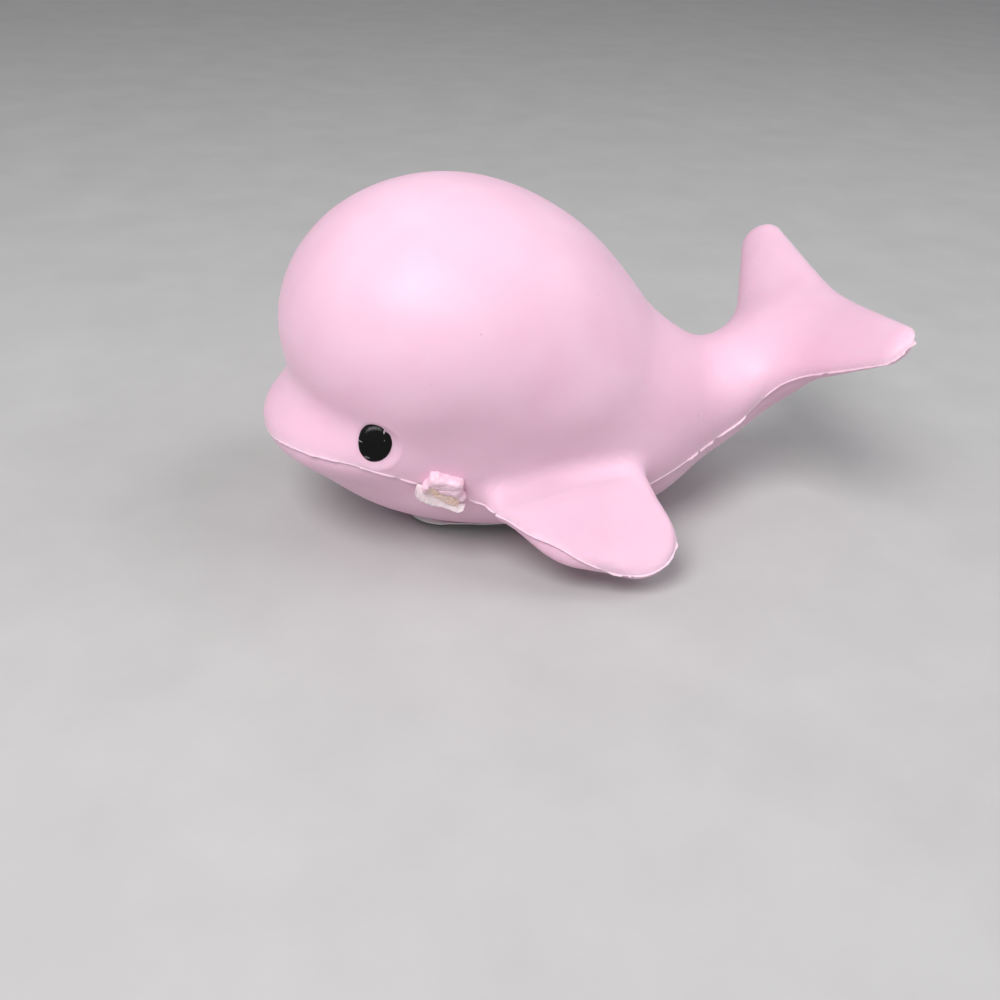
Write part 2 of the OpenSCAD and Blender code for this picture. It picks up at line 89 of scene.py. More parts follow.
def smoothstep(a, b, x):
    t = np.clip((x - a) / (b - a), 0, 1)
    return t * t * (3 - 2 * t)


def ellipsoid(p, c, r):
    q = p - np.array(c, float)
    r = np.array(r, float)
    k0 = np.sqrt(((q / r) ** 2).sum(-1))
    k1 = np.sqrt(((q / (r * r)) ** 2).sum(-1))
    return k0 * (k0 - 1) / np.maximum(k1, 1e-9)


def round_cone(p, a, b, r1, r2):
    a = np.array(a, float)
    b = np.array(b, float)
    ba = b - a
    l2 = ba @ ba
    rr = r1 - r2
    a2 = l2 - rr * rr
    il2 = 1 / l2
    pa = p - a
    y = pa @ ba
    z = y - l2
    x = pa * l2 - y[..., None] * ba
    x2 = (x * x).sum(-1)
    y2 = y * y * l2
    z2 = z * z * l2
    k = np.sign(rr) * rr * rr * x2
    d = (np.sqrt(np.maximum(x2 * a2 * il2, 0)) + y * rr) * il2 - r1
    d = np.where(np.sign(y) * a2 * y2 < k, np.sqrt(x2 + y2) * il2 - r1, d)
    return np.where(np.sign(z) * a2 * z2 > k, np.sqrt(x2 + z2) * il2 - r2, d)


def square(n, u):
    n = np.array(n, float)
    return unit(n - (n @ u) * u)


def paddle(p, a, b, r1, r2, n, t):
    a = np.array(a, float)
    b = np.array(b, float)
    n = square(n, unit(b - a))
    q = p - a
    h = q @ n
    q = q + h[..., None] * n * (1 / t - 1)
    return round_cone(q, (0, 0, 0), b - a, r1, r2) * t


FLUKE_A, FLUKE_B, FLUKE_N = (47.6, 0, 31.8), (52.2, 28.1, 42.4), (-0.65, 0, 0.76)
FLUKE_W = 6.0
FLIP_A, FLIP_B, FLIP_N = np.array([-0.3, 26.1, 15.3]), np.array([8.1, 31.5, 9.4]), (-0.05, 0.74, 0.67)
REAR = [(-6.1, 0, 30.8, 24.1), (11.9, 0, 17.9, 15.0), (29.5, 0, 20.8, 8.3), (46, 0, 30.2, 5.0)]
FLIP_AX = FLIP_B - FLIP_A
FLIP_L = float(np.linalg.norm(FLIP_AX))
FLIP_M = square(FLIP_N, unit(FLIP_AX))
# front of the flipper's root, in its mid-plane
FLIP_C = np.array([-13.7, 0, -0.1])
FLIP_C[1] = -(FLIP_C @ FLIP_M) / FLIP_M[1]


def mirrored(p):
    s = np.array(p, float)
    s[..., 1] = np.abs(s[..., 1])
    return s


def trunk(s):
    d = ellipsoid(s, (-21, 0, 40.1), (30.1, 29.1, 25.4))
    d = smin(d, ellipsoid(s, (-9, 0, 21.8), (40.4, 24.9, 22.1)), 7)
    q = s / np.array([1, 1.1, 1])
    r = None
    for i in range(3):
        c = round_cone(q, REAR[i][:3], REAR[i + 1][:3], REAR[i][3], REAR[i + 1][3])
        r = c if r is None else smin(r, c, 6)
    d = smin(d, r, 8)
    d = smin(d, ellipsoid(s, (-34.9, 0, 22.7), (20.1, 21.5, 9.4)), 4.5)
    # soft hollow over the flipper
    hollow = np.exp(-((s[..., 0] + 3) / 17) ** 2 - ((s[..., 2] - 24) / 7) ** 2)
    return d + 1.2 * hollow * np.clip((s[..., 1] - 8) / 8, 0, 1)


def fluke(s):
    q = np.array(s, float)
    q[..., 1] = np.sqrt(q[..., 1] ** 2 + FLUKE_W ** 2)
    return paddle(q, FLUKE_A, FLUKE_B, 12.1, 4.5, FLUKE_N, 0.52)


def blade(s):
    """The flipper's outline distance, height over its mid-plane and half thickness."""
    q = s - FLIP_A
    h = q @ FLIP_M
    q = q - h[..., None] * FLIP_M
    d = smin(round_cone(q, (0, 0, 0), FLIP_AX, 12.3, 6.2), round_cone(q, FLIP_C, FLIP_AX, 3.5, 6.2), 4)
    # straight root along the body's side
    d = -smin(-d, 5.4 - q @ np.array([0, -0.65, 0.76]), 5.0)
    w = np.clip((q @ FLIP_AX / FLIP_L + 1.6 * FLIP_L) / (3.0 * FLIP_L), 0, 1)
    return d, h, 5.0 - 3.2 * w * w * (3 - 2 * w) - 2.6 * smoothstep(-2, 16, -s[..., 0])


def flipper(s):
    d, h, t = blade(s)
    return np.hypot(np.maximum(d + t, 0), h) - t


def sdf(p):
    s = mirrored(p)
    return smin(smin(trunk(s), fluke(s), 10.5), flipper(s), 3.8)


def gradient(f, p, e=0.04):
    i = np.eye(3) * e
    return np.stack([f(p + i[k]) - f(p - i[k]) for k in range(3)], -1) / (2 * e)


def project(f, v, times=3):
    for _ in range(times):
        g = gradient(f, v)
        v = v - (f(v) / np.maximum((g * g).sum(-1), 1e-6))[:, None] * g
    return v


PART_X = [-60, -54.5, -52, -49, -45.5, -41, -38, -34.5, -28.5, -24.5, -21.5, -19, -17, -12, 0, 8, 14, 18.5, 22.5, 28, 34.5, 38, 42.5, 58]
PART_Z = [21.4, 21.8, 22.9, 23.1, 23.1, 22.8, 21.9, 20.7, 18.1, 16.8, 15.4, 14.3, 13.2, 12.4, 12, 12.4, 13.8, 15.2, 16.4, 17.6, 20.3, 23.8, 28.7, 42]


def parting(p):
    """Above zero on the upper mould half, below zero on the lower."""
    s = mirrored(p)
    g = s[..., 2] - np.interp(s[..., 0], PART_X, PART_Z)
    dt, df, dp = trunk(s), fluke(s), flipper(s)
    q = s.copy()
    q[..., 1] = np.sqrt(q[..., 1] ** 2 + FLUKE_W ** 2)
    a = np.array(FLUKE_A, float)
    plane = (q - a) @ square(FLUKE_N, unit(np.array(FLUKE_B, float) - a))
    w = smoothstep(-4, 4, dt - df)
    g = g * (1 - w) + plane * w
    # round the flipper the line runs where the rim stands upright: the mould opens along z
    d, h, t = blade(s)
    up = np.array([0, 0, 0.05])
    oz = (blade(s + up)[0] - blade(s - up)[0]) / 0.1
    x = s[..., 0]
    phi = np.arctan2(-oz, FLIP_M[2]) + 0.85 * np.exp(-((x + 7.3) / 4.2) ** 2) - 0.42 * np.exp(-((x - 3) / 3.2) ** 2)
    e = d + t
    rim = t * (np.arctan2(h, np.maximum(e, 1e-9)) - phi) + np.sign(h) * np.maximum(-e, 0)
    w = smoothstep(-3, 3, dt - dp)
    return g * (1 - w) + rim * w


# ---------------------------------------------------------------- noise
def lattice(i, j, k, seed):
    n = (i.astype(np.int64) * 73856093) ^ (j.astype(np.int64) * 19349663) ^ (k.astype(np.int64) * 83492791) ^ (seed * 40503 + 977)
    n = n & 0xFFFFFFFF
    n = ((n ^ (n >> 15)) * 2246822519) & 0xFFFFFFFF
    n = ((n ^ (n >> 13)) * 3266489917) & 0xFFFFFFFF
    return ((n ^ (n >> 16)) & 0xFFFF) / 32767.5 - 1.0


def noise(p, size, seed=0):
    """Smooth noise in -1..1 with features about size apart."""
    q = np.asarray(p, float) / size
    b = np.floor(q).astype(np.int64)
    f = q - b
    f = f * f * f * (f * (f * 6 - 15) + 10)
    out = 0.0
    for dx in (0, 1):
        wx = f[..., 0] if dx else 1 - f[..., 0]
        for dy in (0, 1):
            wy = f[..., 1] if dy else 1 - f[..., 1]
            for dz in (0, 1):
                wz = f[..., 2] if dz else 1 - f[..., 2]
                out = out + wx * wy * wz * lattice(b[..., 0] + dx, b[..., 1] + dy, b[..., 2] + dz, seed)
    return out


def noise1(s, size, seed=0):
    s = np.asarray(s, float)
    return noise(np.stack([s, np.zeros_like(s) + 0.37 * size, np.zeros_like(s) + 0.61 * size], -1), size, seed)


# ---------------------------------------------------------------- mesh tools
def surface_nets(f, lo, hi, h):
    n = [int(math.ceil((hi[i] - lo[i]) / h)) + 1 for i in range(3)]
    ax = [lo[i] + h * np.arange(n[i]) for i in range(3)]
    v = np.empty(n, np.float64)
    Y, Z = np.meshgrid(ax[1], ax[2], indexing="ij")
    for i in range(n[0]):
        v[i] = f(np.stack([np.full_like(Y, ax[0][i]), Y, Z], -1))
    s = v < 0
    some = np.zeros([k - 1 for k in n], bool)
    every = np.ones_like(some)
    corners = [(a, b, c) for a in (0, 1) for b in (0, 1) for c in (0, 1)]

    def at(A, o):
        return A[o[0]:o[0] + n[0] - 1, o[1]:o[1] + n[1] - 1, o[2]:o[2] + n[2] - 1]

    for o in corners:
        some |= at(s, o)
        every &= at(s, o)
    act = some & ~every
    idx = -np.ones(act.shape, np.int64)
    cells = np.argwhere(act)
    idx[act] = np.arange(len(cells))
    acc = np.zeros((len(cells), 3))
    cnt = np.zeros(len(cells))
    for o in corners:
        for a in range(3):
            if o[a]:
                continue
            o2 = list(o)
            o2[a] = 1
            v0, v1 = at(v, o)[act], at(v, o2)[act]
            m = (v0 < 0) != (v1 < 0)
            t = np.where(m, v0 / np.where(m, v0 - v1, 1), 0)
            pt = np.array(o, float)[None] + np.eye(3)[a][None] * t[:, None]
            acc[m] += pt[m]
            cnt[m] += 1
    V = (cells + acc / cnt[:, None]) * h + np.array(lo, float)
    F = []
    for a in range(3):
        b, c = (a + 1) % 3, (a + 2) % 3
        s0 = [slice(None)] * 3
        s1 = [slice(None)] * 3
        s0[a] = slice(0, n[a] - 1)
        s1[a] = slice(1, n[a])
        inside = s[tuple(s0)]
        E = np.argwhere(inside != s[tuple(s1)])
        ins = inside[tuple(E.T)]
        ok = (E[:, b] > 0) & (E[:, c] > 0) & (E[:, b] < n[b] - 1) & (E[:, c] < n[c] - 1)
        E, ins = E[ok], ins[ok]

        def cell(db, dc):
            q = E.copy()
            q[:, b] -= db
            q[:, c] -= dc
            return idx[q[:, 0], q[:, 1], q[:, 2]]

        quad = np.stack([cell(1, 1), cell(0, 1), cell(0, 0), cell(1, 0)], 1)
        quad[~ins] = quad[~ins][:, ::-1]
        F.append(quad)
    return V, np.concatenate(F)


def triangles(V, Q):
    d0 = np.linalg.norm(V[Q[:, 0]] - V[Q[:, 2]], axis=1)
    d1 = np.linalg.norm(V[Q[:, 1]] - V[Q[:, 3]], axis=1)
    A = np.where((d0 <= d1)[:, None], Q[:, [0, 1, 2]], Q[:, [0, 1, 3]])
    B = np.where((d0 <= d1)[:, None], Q[:, [0, 2, 3]], Q[:, [1, 2, 3]])
    return np.concatenate([A, B])


def edge_table(V, T):
    E = np.concatenate([T[:, [0, 1]], T[:, [1, 2]], T[:, [2, 0]]])
    E = np.sort(E, 1)
    return np.unique(E, axis=0, return_inverse=True)


def refine(V, T, mark):
    """Halves the edges of the marked triangles, and closes their neighbours."""
    U, inv = edge_table(V, T)
    inv = inv.reshape(3, len(T))
    hit = np.zeros(len(U), bool)
    hit[inv[:, mark].ravel()] = True
    new = np.full(len(U), -1, np.int64)
    new[hit] = len(V) + np.arange(hit.sum())
    V2 = np.concatenate([V, (V[U[hit, 0]] + V[U[hit, 1]]) / 2])
    e = new[inv].T
    out = []
    cnt = (e >= 0).sum(1)
    out.append(T[cnt == 0])
    t, m = T[cnt == 3], e[cnt == 3]
    out += [np.stack(x, 1) for x in ((t[:, 0], m[:, 0], m[:, 2]), (m[:, 0], t[:, 1], m[:, 1]), (m[:, 2], m[:, 1], t[:, 2]), (m[:, 0], m[:, 1], m[:, 2]))]
    for k in range(3):
        i, j, l = k, (k + 1) % 3, (k + 2) % 3
        q = (cnt == 1) & (e[:, i] >= 0)
        t, m = T[q], e[q]
        out += [np.stack((t[:, i], m[:, i], t[:, l]), 1), np.stack((m[:, i], t[:, j], t[:, l]), 1)]
        q = (cnt == 2) & (e[:, l] < 0)
        t, m = T[q], e[q]
        out += [np.stack((m[:, i], t[:, j], m[:, j]), 1), np.stack((t[:, i], m[:, i], m[:, j]), 1), np.stack((t[:, i], m[:, j], t[:, l]), 1)]
    return V2, np.concatenate(out)


def split(V, T, g):
    """Cuts the triangles along g = 0; g holds one value for each vertex."""
    s = g[T] >= 0
    cnt = s.sum(1)
    whole = (cnt == 0) | (cnt == 3)
    t = T[~whole]
    c, s = cnt[~whole], s[~whole]
    lone = np.where(c == 1, s.argmax(1), (~s).argmax(1))
    r = np.arange(len(t))
    a, b, d = t[r, lone], t[r, (lone + 1) % 3], t[r, (lone + 2) % 3]
    E = np.sort(np.concatenate([np.stack([a, b], 1), np.stack([a, d], 1)]), 1)
    U, inv = np.unique(E, axis=0, return_inverse=True)
    w = g[U[:, 0]] / (g[U[:, 0]] - g[U[:, 1]])
    V2 = np.concatenate([V, V[U[:, 0]] + (V[U[:, 1]] - V[U[:, 0]]) * w[:, None]])
    inv = inv.reshape(-1) + len(V)
    ab, ad = inv[:len(t)], inv[len(t):]
    T2 = np.concatenate([T[whole], np.stack([a, ab, ad], 1), np.stack([ab, b, d], 1), np.stack([ab, d, ad], 1)])
    area = np.linalg.norm(np.cross(V2[T2[:, 1]] - V2[T2[:, 0]], V2[T2[:, 2]] - V2[T2[:, 0]]), axis=1)
    return V2, T2[area > 1e-9]


def vertex_normals(V, T):
    n = np.cross(V[T[:, 1]] - V[T[:, 0]], V[T[:, 2]] - V[T[:, 0]])
    out = np.zeros_like(V)
    for k in range(3):
        np.add.at(out, T[:, k], n)
    return unit(out)


def make(name, V, F, material, normals=None, smooth=True, values=None, uv=None):
    me = bpy.data.meshes.new(name)
    me.from_pydata(world(V).tolist(), [], [list(map(int, f)) for f in F])
    me.update()
    me.polygons.foreach_set("use_smooth", np.full(len(me.polygons), smooth))
    if normals is not None:
        me.normals_split_custom_set_from_vertices(np.asarray(normals, float).tolist())
    for key, val in (values or {}).items():
        at = me.attributes.new(key, "FLOAT", "POINT")
        at.data.foreach_set("value", np.asarray(val, np.float32))
    if uv is not None:
        layer = me.uv_layers.new(name="flat")
        li = np.empty(len(me.loops), np.int32)
        me.loops.foreach_get("vertex_index", li)
        layer.data.foreach_set("uv", np.asarray(uv, np.float32)[li].ravel())
    me.materials.append(material)
    ob = bpy.data.objects.new(name, me)
    bpy.context.scene.collection.objects.link(ob)
    return ob


# ---------------------------------------------------------------- materials
def new_material(name):
    m = bpy.data.materials.new(name)
    m.use_nodes = True
    nt = m.node_tree
    return m, nt, nt.nodes["Principled BSDF"]


def node(nt, kind, **kw):
    n = nt.nodes.new(kind)
    for k, v in kw.items():
        if k in n.inputs:
            n.inputs[k].default_value = v
        else:
            setattr(n, k, v)
    return n


def noise_node(nt, coord, scale, detail=3.0, rough=0.5, distortion=0.0):
    n = node(nt, "ShaderNodeTexNoise", Scale=scale, Detail=detail, Roughness=rough, Distortion=distortion)
    nt.links.new(coord, n.inputs["Vector"])
    return n.outputs["Fac"]


def ramp(nt, fac, stops):
    r = nt.nodes.new("ShaderNodeValToRGB")
    e = r.color_ramp.elements
    while len(e) > len(stops):
        e.remove(e[-1])
    while len(e) < len(stops):
        e.new(0.5)
    for x, (pos, col) in zip(e, stops):
        x.position = pos
        x.color = (*col, 1) if len(col) == 3 else col
    nt.links.new(fac, r.inputs["Fac"])
    return r.outputs["Color"]


def mix(nt, fac, a, b, mode="MIX"):
    n = nt.nodes.new("ShaderNodeMix")
    n.data_type = "RGBA"
    n.blend_type = mode
    for sock, v in ((n.inputs[0], fac), (n.inputs[6], a), (n.inputs[7], b)):
        if hasattr(v, "is_linked"):
            nt.links.new(v, sock)
        elif isinstance(v, tuple):
            sock.default_value = (*v, 1)
        else:
            sock.default_value = v
    return n.outputs[2]


def math_node(nt, op, a, b=None, clamp=False):
    n = nt.nodes.new("ShaderNodeMath")
    n.operation = op
    n.use_clamp = clamp
    for sock, v in ((n.inputs[0], a), (n.inputs[1], b)):
        if v is None:
            continue
        if hasattr(v, "is_linked"):
            nt.links.new(v, sock)
        else:
            sock.default_value = v
    return n.outputs[0]


def span(nt, v, a, b, c, d):
    n = nt.nodes.new("ShaderNodeMapRange")
    nt.links.new(v, n.inputs["Value"])
    for k, x in zip(("From Min", "From Max", "To Min", "To Max"), (a, b, c, d)):
        n.inputs[k].default_value = x
    return n.outputs["Result"]


def bump(nt, height, strength, distance, normal=None):
    n = node(nt, "ShaderNodeBump", Strength=strength, Distance=distance)
    nt.links.new(height, n.inputs["Height"])
    if normal is not None:
        nt.links.new(normal, n.inputs["Normal"])
    return n.outputs["Normal"]


def attribute(nt, name):
    n = nt.nodes.new("ShaderNodeAttribute")
    n.attribute_name = name
    return n.outputs["Fac"]


PINK_A, PINK_B = (0.815, 0.497, 0.645), (0.86, 0.562, 0.706)


def coat_material(name, pale=0.0, edge=True):
    """Moulded skin: satin, a little mottled, paler along the parting line, with fine grain and a few specks."""
    m, nt, bs = new_material(name)
    co = nt.nodes.new("ShaderNodeTexCoord").outputs["Object"]
    big = noise_node(nt, co, 55, 2.0, 0.5, 0.3)
    col = ramp(nt, big, [(0.3, PINK_A), (0.7, PINK_B)])
    mid = noise_node(nt, co, 260, 4.0, 0.6)
    col = mix(nt, span(nt, mid, 0.35, 0.75, 0.0, 0.10), col, (0.9, 0.66, 0.76))
    spots = noise_node(nt, co, 900, 2.0, 0.5)
    col = mix(nt, span(nt, spots, 0.745, 0.80, 0.0, 0.45), col, (0.5, 0.26, 0.33))
    if edge:
        e = attribute(nt, "edge")
        rag = noise_node(nt, co, 700, 3.0, 0.6)
        worn = math_node(nt, "MULTIPLY", e, span(nt, rag, 0.3, 0.7, 0.35, 1.0), True)
        col = mix(nt, worn, col, (0.93, 0.70, 0.79))
    if pale:
        col = mix(nt, pale, col, (0.93, 0.80, 0.80))
    nt.links.new(col, bs.inputs["Base Color"])
    nt.links.new(span(nt, mid, 0.3, 0.7, 0.40, 0.50), bs.inputs["Roughness"])
    n = bump(nt, noise_node(nt, co, 2600, 2.0, 0.5), 0.16, 0.00004)
    n = bump(nt, noise_node(nt, co, 420, 3.0, 0.5), 0.20, 0.00008, n)
    nt.links.new(n, bs.inputs["Normal"])
    bs.inputs["Specular IOR Level"].default_value = 0.38
    bs.inputs["Sheen Weight"].default_value = 0.12
    bs.inputs["Sheen Roughness"].default_value = 0.45
    bs.inputs["Sheen Tint"].default_value = (1.0, 0.86, 0.93, 1)
    bs.inputs["Subsurface Weight"].default_value = 0.22
    bs.inputs["Subsurface Radius"].default_value = (1.0, 0.45, 0.40)
    bs.inputs["Subsurface Scale"].default_value = 0.0012
    return m


def foam_material():
    """Open foam: cream to tan, with pores; the pore bottoms carry painted shade."""
    m, nt, bs = new_material("foam_open")
    co = nt.nodes.new("ShaderNodeTexCoord").outputs["Object"]
    v = node(nt, "ShaderNodeTexVoronoi", Scale=3400.0)
    nt.links.new(co, v.inputs["Vector"])
    cell = v.outputs["Distance"]
    tone = noise_node(nt, co, 500, 4.0, 0.6)
    col = ramp(nt, tone, [(0.3, (0.97, 0.66, 0.56)), (0.7, (1.0, 0.80, 0.71))])
    # painted shade: the colour darkens towards each pore's bottom, where the bump sinks the surface
    col = mix(nt, span(nt, cell, 0.15, 0.55, 0.24, 0.0), col, (0.50, 0.30, 0.22))
    nt.links.new(col, bs.inputs["Base Color"])
    nt.links.new(span(nt, tone, 0.3, 0.7, 0.8, 0.95), bs.inputs["Roughness"])
    n = bump(nt, cell, 0.9, 0.00022)
    n = bump(nt, tone, 0.6, 0.0004, n)
    nt.links.new(n, bs.inputs["Normal"])
    bs.inputs["Subsurface Weight"].default_value = 0.2
    bs.inputs["Subsurface Radius"].default_value = (1.0, 0.6, 0.4)
    bs.inputs["Subsurface Scale"].default_value = 0.001
    return m


def eye_material():
    """Gloss black paint, scuffed through to the coat in places; flat map -1..1 across the eye."""
    m, nt, bs = new_material("eye_paint")
    uvn = nt.nodes.new("ShaderNodeUVMap")
    uvn.uv_map = "flat"
    sep = nt.nodes.new("ShaderNodeSeparateXYZ")
    nt.links.new(uvn.outputs["UV"], sep.inputs[0])
    x, y = sep.outputs["X"], sep.outputs["Y"]
    co = uvn.outputs["UV"]
    rag = noise_node(nt, co, 9.0, 4.0, 0.65)
    fine = noise_node(nt, co, 26.0, 3.0, 0.6)

    def dist(cx, cy, sx, sy):
        dx = math_node(nt, "DIVIDE", math_node(nt, "SUBTRACT", x, cx), sx)
        dy = math_node(nt, "DIVIDE", math_node(nt, "SUBTRACT", y, cy), sy)
        return math_node(nt, "SQRT", math_node(nt, "ADD", math_node(nt, "MULTIPLY", dx, dx), math_node(nt, "MULTIPLY", dy, dy)))

    def patch(cx, cy, sx, sy, ragged=0.7, lo=0.85, hi=1.0):
        d = math_node(nt, "ADD", dist(cx, cy, sx, sy), math_node(nt, "MULTIPLY", math_node(nt, "SUBTRACT", rag, 0.5), ragged * 2))
        return span(nt, d, lo, hi, 1.0, 0.0)

    # light grey arc inside the upper edge, thin chips at the left, at the foot and at the upper right
    coarse = noise_node(nt, co, 5.0, 3.0, 0.6, 0.8)
    ring = math_node(nt, "ABSOLUTE", math_node(nt, "SUBTRACT", dist(0.20, -0.10, 1, 1), 0.92))
    ring = math_node(nt, "ADD", ring, math_node(nt, "MULTIPLY", math_node(nt, "SUBTRACT", fine, 0.5), 0.30))
    arc = math_node(nt, "MULTIPLY", span(nt, ring, 0.02, 0.11, 1.0, 0.0), patch(-0.12, 0.62, 0.62, 0.46, 0.5, 0.5, 1.0), True)
    arc = math_node(nt, "MULTIPLY", arc, span(nt, coarse, 0.36, 0.56, 0.20, 1.0), True)
    arc = math_node(nt, "MULTIPLY", arc, span(nt, x, -0.7, 0.35, 0.35, 1.0), True)
    low = patch(-0.26, -0.79, 0.18, 0.05, 0.7)
    left = patch(-0.86, -0.15, 0.20, 0.028, 0.25)
    dot = patch(0.57, 0.25, 0.035, 0.05, 0.4)
    chip = math_node(nt, "MULTIPLY", math_node(nt, "MAXIMUM", patch(0.49, 0.68, 0.045, 0.10, 1.0), patch(0.62, 0.74, 0.11, 0.05, 1.0)), 0.8)
    grey = math_node(nt, "MAXIMUM", math_node(nt, "MULTIPLY", arc, 0.9), math_node(nt, "MAXIMUM", math_node(nt, "MULTIPLY", left, 0.8), math_node(nt, "MULTIPLY", math_node(nt, "MAXIMUM", dot, low), 0.4)))
    col = mix(nt, span(nt, fine, 0.3, 0.8, 0.0, 1.0), (0.0022, 0.0020, 0.0022), (0.006, 0.0054, 0.006))
    col = mix(nt, grey, col, (0.32, 0.31, 0.32))
    col = mix(nt, chip, col, (0.66, 0.55, 0.60))
    nt.links.new(col, bs.inputs["Base Color"])
    worn = math_node(nt, "MAXIMUM", grey, chip)
    nt.links.new(math_node(nt, "ADD", span(nt, rag, 0.3, 0.7, 0.22, 0.36), math_node(nt, "MULTIPLY", worn, 0.35)), bs.inputs["Roughness"])
    h = math_node(nt, "SUBTRACT", math_node(nt, "MULTIPLY", rag, 0.5), worn)
    nt.links.new(bump(nt, h, 0.35, 0.00012), bs.inputs["Normal"])
    bs.inputs["Specular IOR Level"].default_value = 0.11
    bs.inputs["Coat Weight"].default_value = 0.02
    bs.inputs["Coat Roughness"].default_value = 0.12
    return m


def paper_material():
    m, nt, bs = new_material("sticker_paper")
    co = nt.nodes.new("ShaderNodeTexCoord").outputs["Object"]
    fib = noise_node(nt, co, 1500, 5.0, 0.7, 0.6)
    col = ramp(nt, fib, [(0.3, (0.82, 0.82, 0.80)), (0.7, (0.90, 0.90, 0.885))])
    col = mix(nt, span(nt, noise_node(nt, co, 130, 3.0, 0.6), 0.5, 0.8, 0.0, 0.25), col, (0.66, 0.64, 0.60))
    nt.links.new(col, bs.inputs["Base Color"])
    nt.links.new(span(nt, fib, 0.3, 0.7, 0.28, 0.42), bs.inputs["Roughness"])
    nt.links.new(bump(nt, fib, 0.25, 0.00005), bs.inputs["Normal"])
    return m


COAT = coat_material("coat_pink_skin")
FLASH = coat_material("coat_flash_edge", pale=0.25, edge=False)
LUMP = coat_material("coat_torn_lump", pale=0.22, edge=False)
FLAP = coat_material("coat_torn_flap", pale=0.75, edge=False)
FOAM = foam_material()
EYE = eye_material()
PAPER = paper_material()

# ---------------------------------------------------------------- places on the body
def cast_y(x, z, f=trunk):
    """The left side's y at (x, z)."""
    a, b = 0.0, 60.0
    for _ in range(40):
        m = (a + b) / 2
        if f(np.array([[x, m, z]]))[0] < 0:
            a = m
        else:
            b = m
    return -a


def left_frame(x, z):
    c = np.array([x, cast_y(x, z), z])
    n = unit(gradient(sdf, c[None])[0])
    t = unit(np.cross([0, 0, 1], n))
    return c, t, np.cross(n, t), n


EYE_AT = left_frame(-37.0, 27.3)
# the painted oval stands upright in the mould, so its axes are turned a little
LEAN = math.radians(9)
EYE_AT = (EYE_AT[0], EYE_AT[1] * math.cos(LEAN) - EYE_AT[2] * math.sin(LEAN), EYE_AT[2] * math.cos(LEAN) + EYE_AT[1] * math.sin(LEAN), EYE_AT[3])
GATE_AT = left_frame(-25.4, 18.0)


def local(p, at, flip=False):
    q = np.array(p, float)
    if flip:
        q[..., 1] = -np.abs(q[..., 1])
    q = q - at[0]
    return q @ at[1], q @ at[2], q @ at[3]


def socket(a, b):
    """Height of the eye socket against the skin around it."""
    r = np.sqrt(((a - 0.60) / 3.85) ** 2 + ((b + 0.30) / 4.45) ** 2)
    dip = -0.34 * (1 - smoothstep(0.72, 1.08, r))
    return dip + 0.07 * np.exp(-((r - 1.12) / 0.10) ** 2) * smoothstep(-1.5, 2.5, a - 0.5 * b)


FLIP_P = np.array([3.0, cast_y(3, 12), 12.0])
FLIP_OUT = unit(gradient(lambda q: trunk(mirrored(q)), FLIP_P[None])[0])


def flip_s(p):
    q = np.array(p, float)
    q[..., 1] = -np.abs(q[..., 1])
    return (q - FLIP_P) @ FLIP_OUT


TAIL_X, LOBE_Y, FLIP_S = 25.0, 11.3, 0.8


def fluke_side(p):
    return np.minimum(np.abs(p[..., 1]) - LOBE_Y, p[..., 0] - 36.5)


# ---------------------------------------------------------------- the coat surface
V, Q = surface_nets(sdf, (-60, -42, -3), (62, 42, 70), STEP)
V = project(sdf, V, 4)
T = triangles(V, Q)
for radius in (((7.5, 6.2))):
    mid = V[T].mean(1)
    ae, be, ce = local(mid, EYE_AT, True)
    ag, bg, cg = local(mid, GATE_AT)
    near = (np.hypot(ae, be) < radius) & (np.abs(ce) < 6)
    near |= (np.hypot(ag, bg) < radius) & (np.abs(cg) < 6)
    V, T = refine(V, T, near)
V = project(sdf, V, 2)
V, T = split(V, T, parting(V))
V, T = split(V, T, V[:, 0] - TAIL_X)
V, T = split(V, T, fluke_side(V))
V, T = split(V, T, flip_s(V) - FLIP_S)
V = project(sdf, V, 2)

N0 = unit(gradient(sdf, V))
G = parting(V)
# slow unevenness of a cast skin, eye sockets, belly pressed flat
lift = 0.10 * noise(V, 13.0, 3) + 0.035 * noise(V, 5.0, 4)
lift *= smoothstep(0.0, 2.0, np.abs(G))
a, b, c = local(V, EYE_AT, True)
near = (np.hypot(a, b) < 7) & (np.abs(c) < 6)
lift = np.where(near, lift + socket(a, b), lift)
V = V + N0 * lift[:, None]


def press(z):
    k = 0.5
    h = np.maximum(k - np.abs(z - 0.25), 0) / k
    return np.maximum(z, 0.25) + h * h * k * 0.25


V[:, 2] = press(V[:, 2])
N = vertex_normals(V, T)
EDGE = np.exp(-np.abs(G) / 0.55)

mid = V[T].mean(1)
upper = parting(mid) > 0
# a triangle on the line follows its corner that is furthest from the line
far = np.abs(G[T]).argmax(1)
upper = G[T][np.arange(len(T)), far] > 0
tail = mid[:, 0] > TAIL_X
lobe = fluke_side(mid) > 0
flip = flip_s(mid) > FLIP_S
left = mid[:, 1] < 0


def bend(ob, zone):
    if zone == "body":
        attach(ob, "body")
    elif zone == "crown":
        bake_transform(ob)
    elif zone == "tail":
        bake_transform(ob)
    elif zone == "tail_rigid":
        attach(ob, "tail")
    else:
        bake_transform(ob)


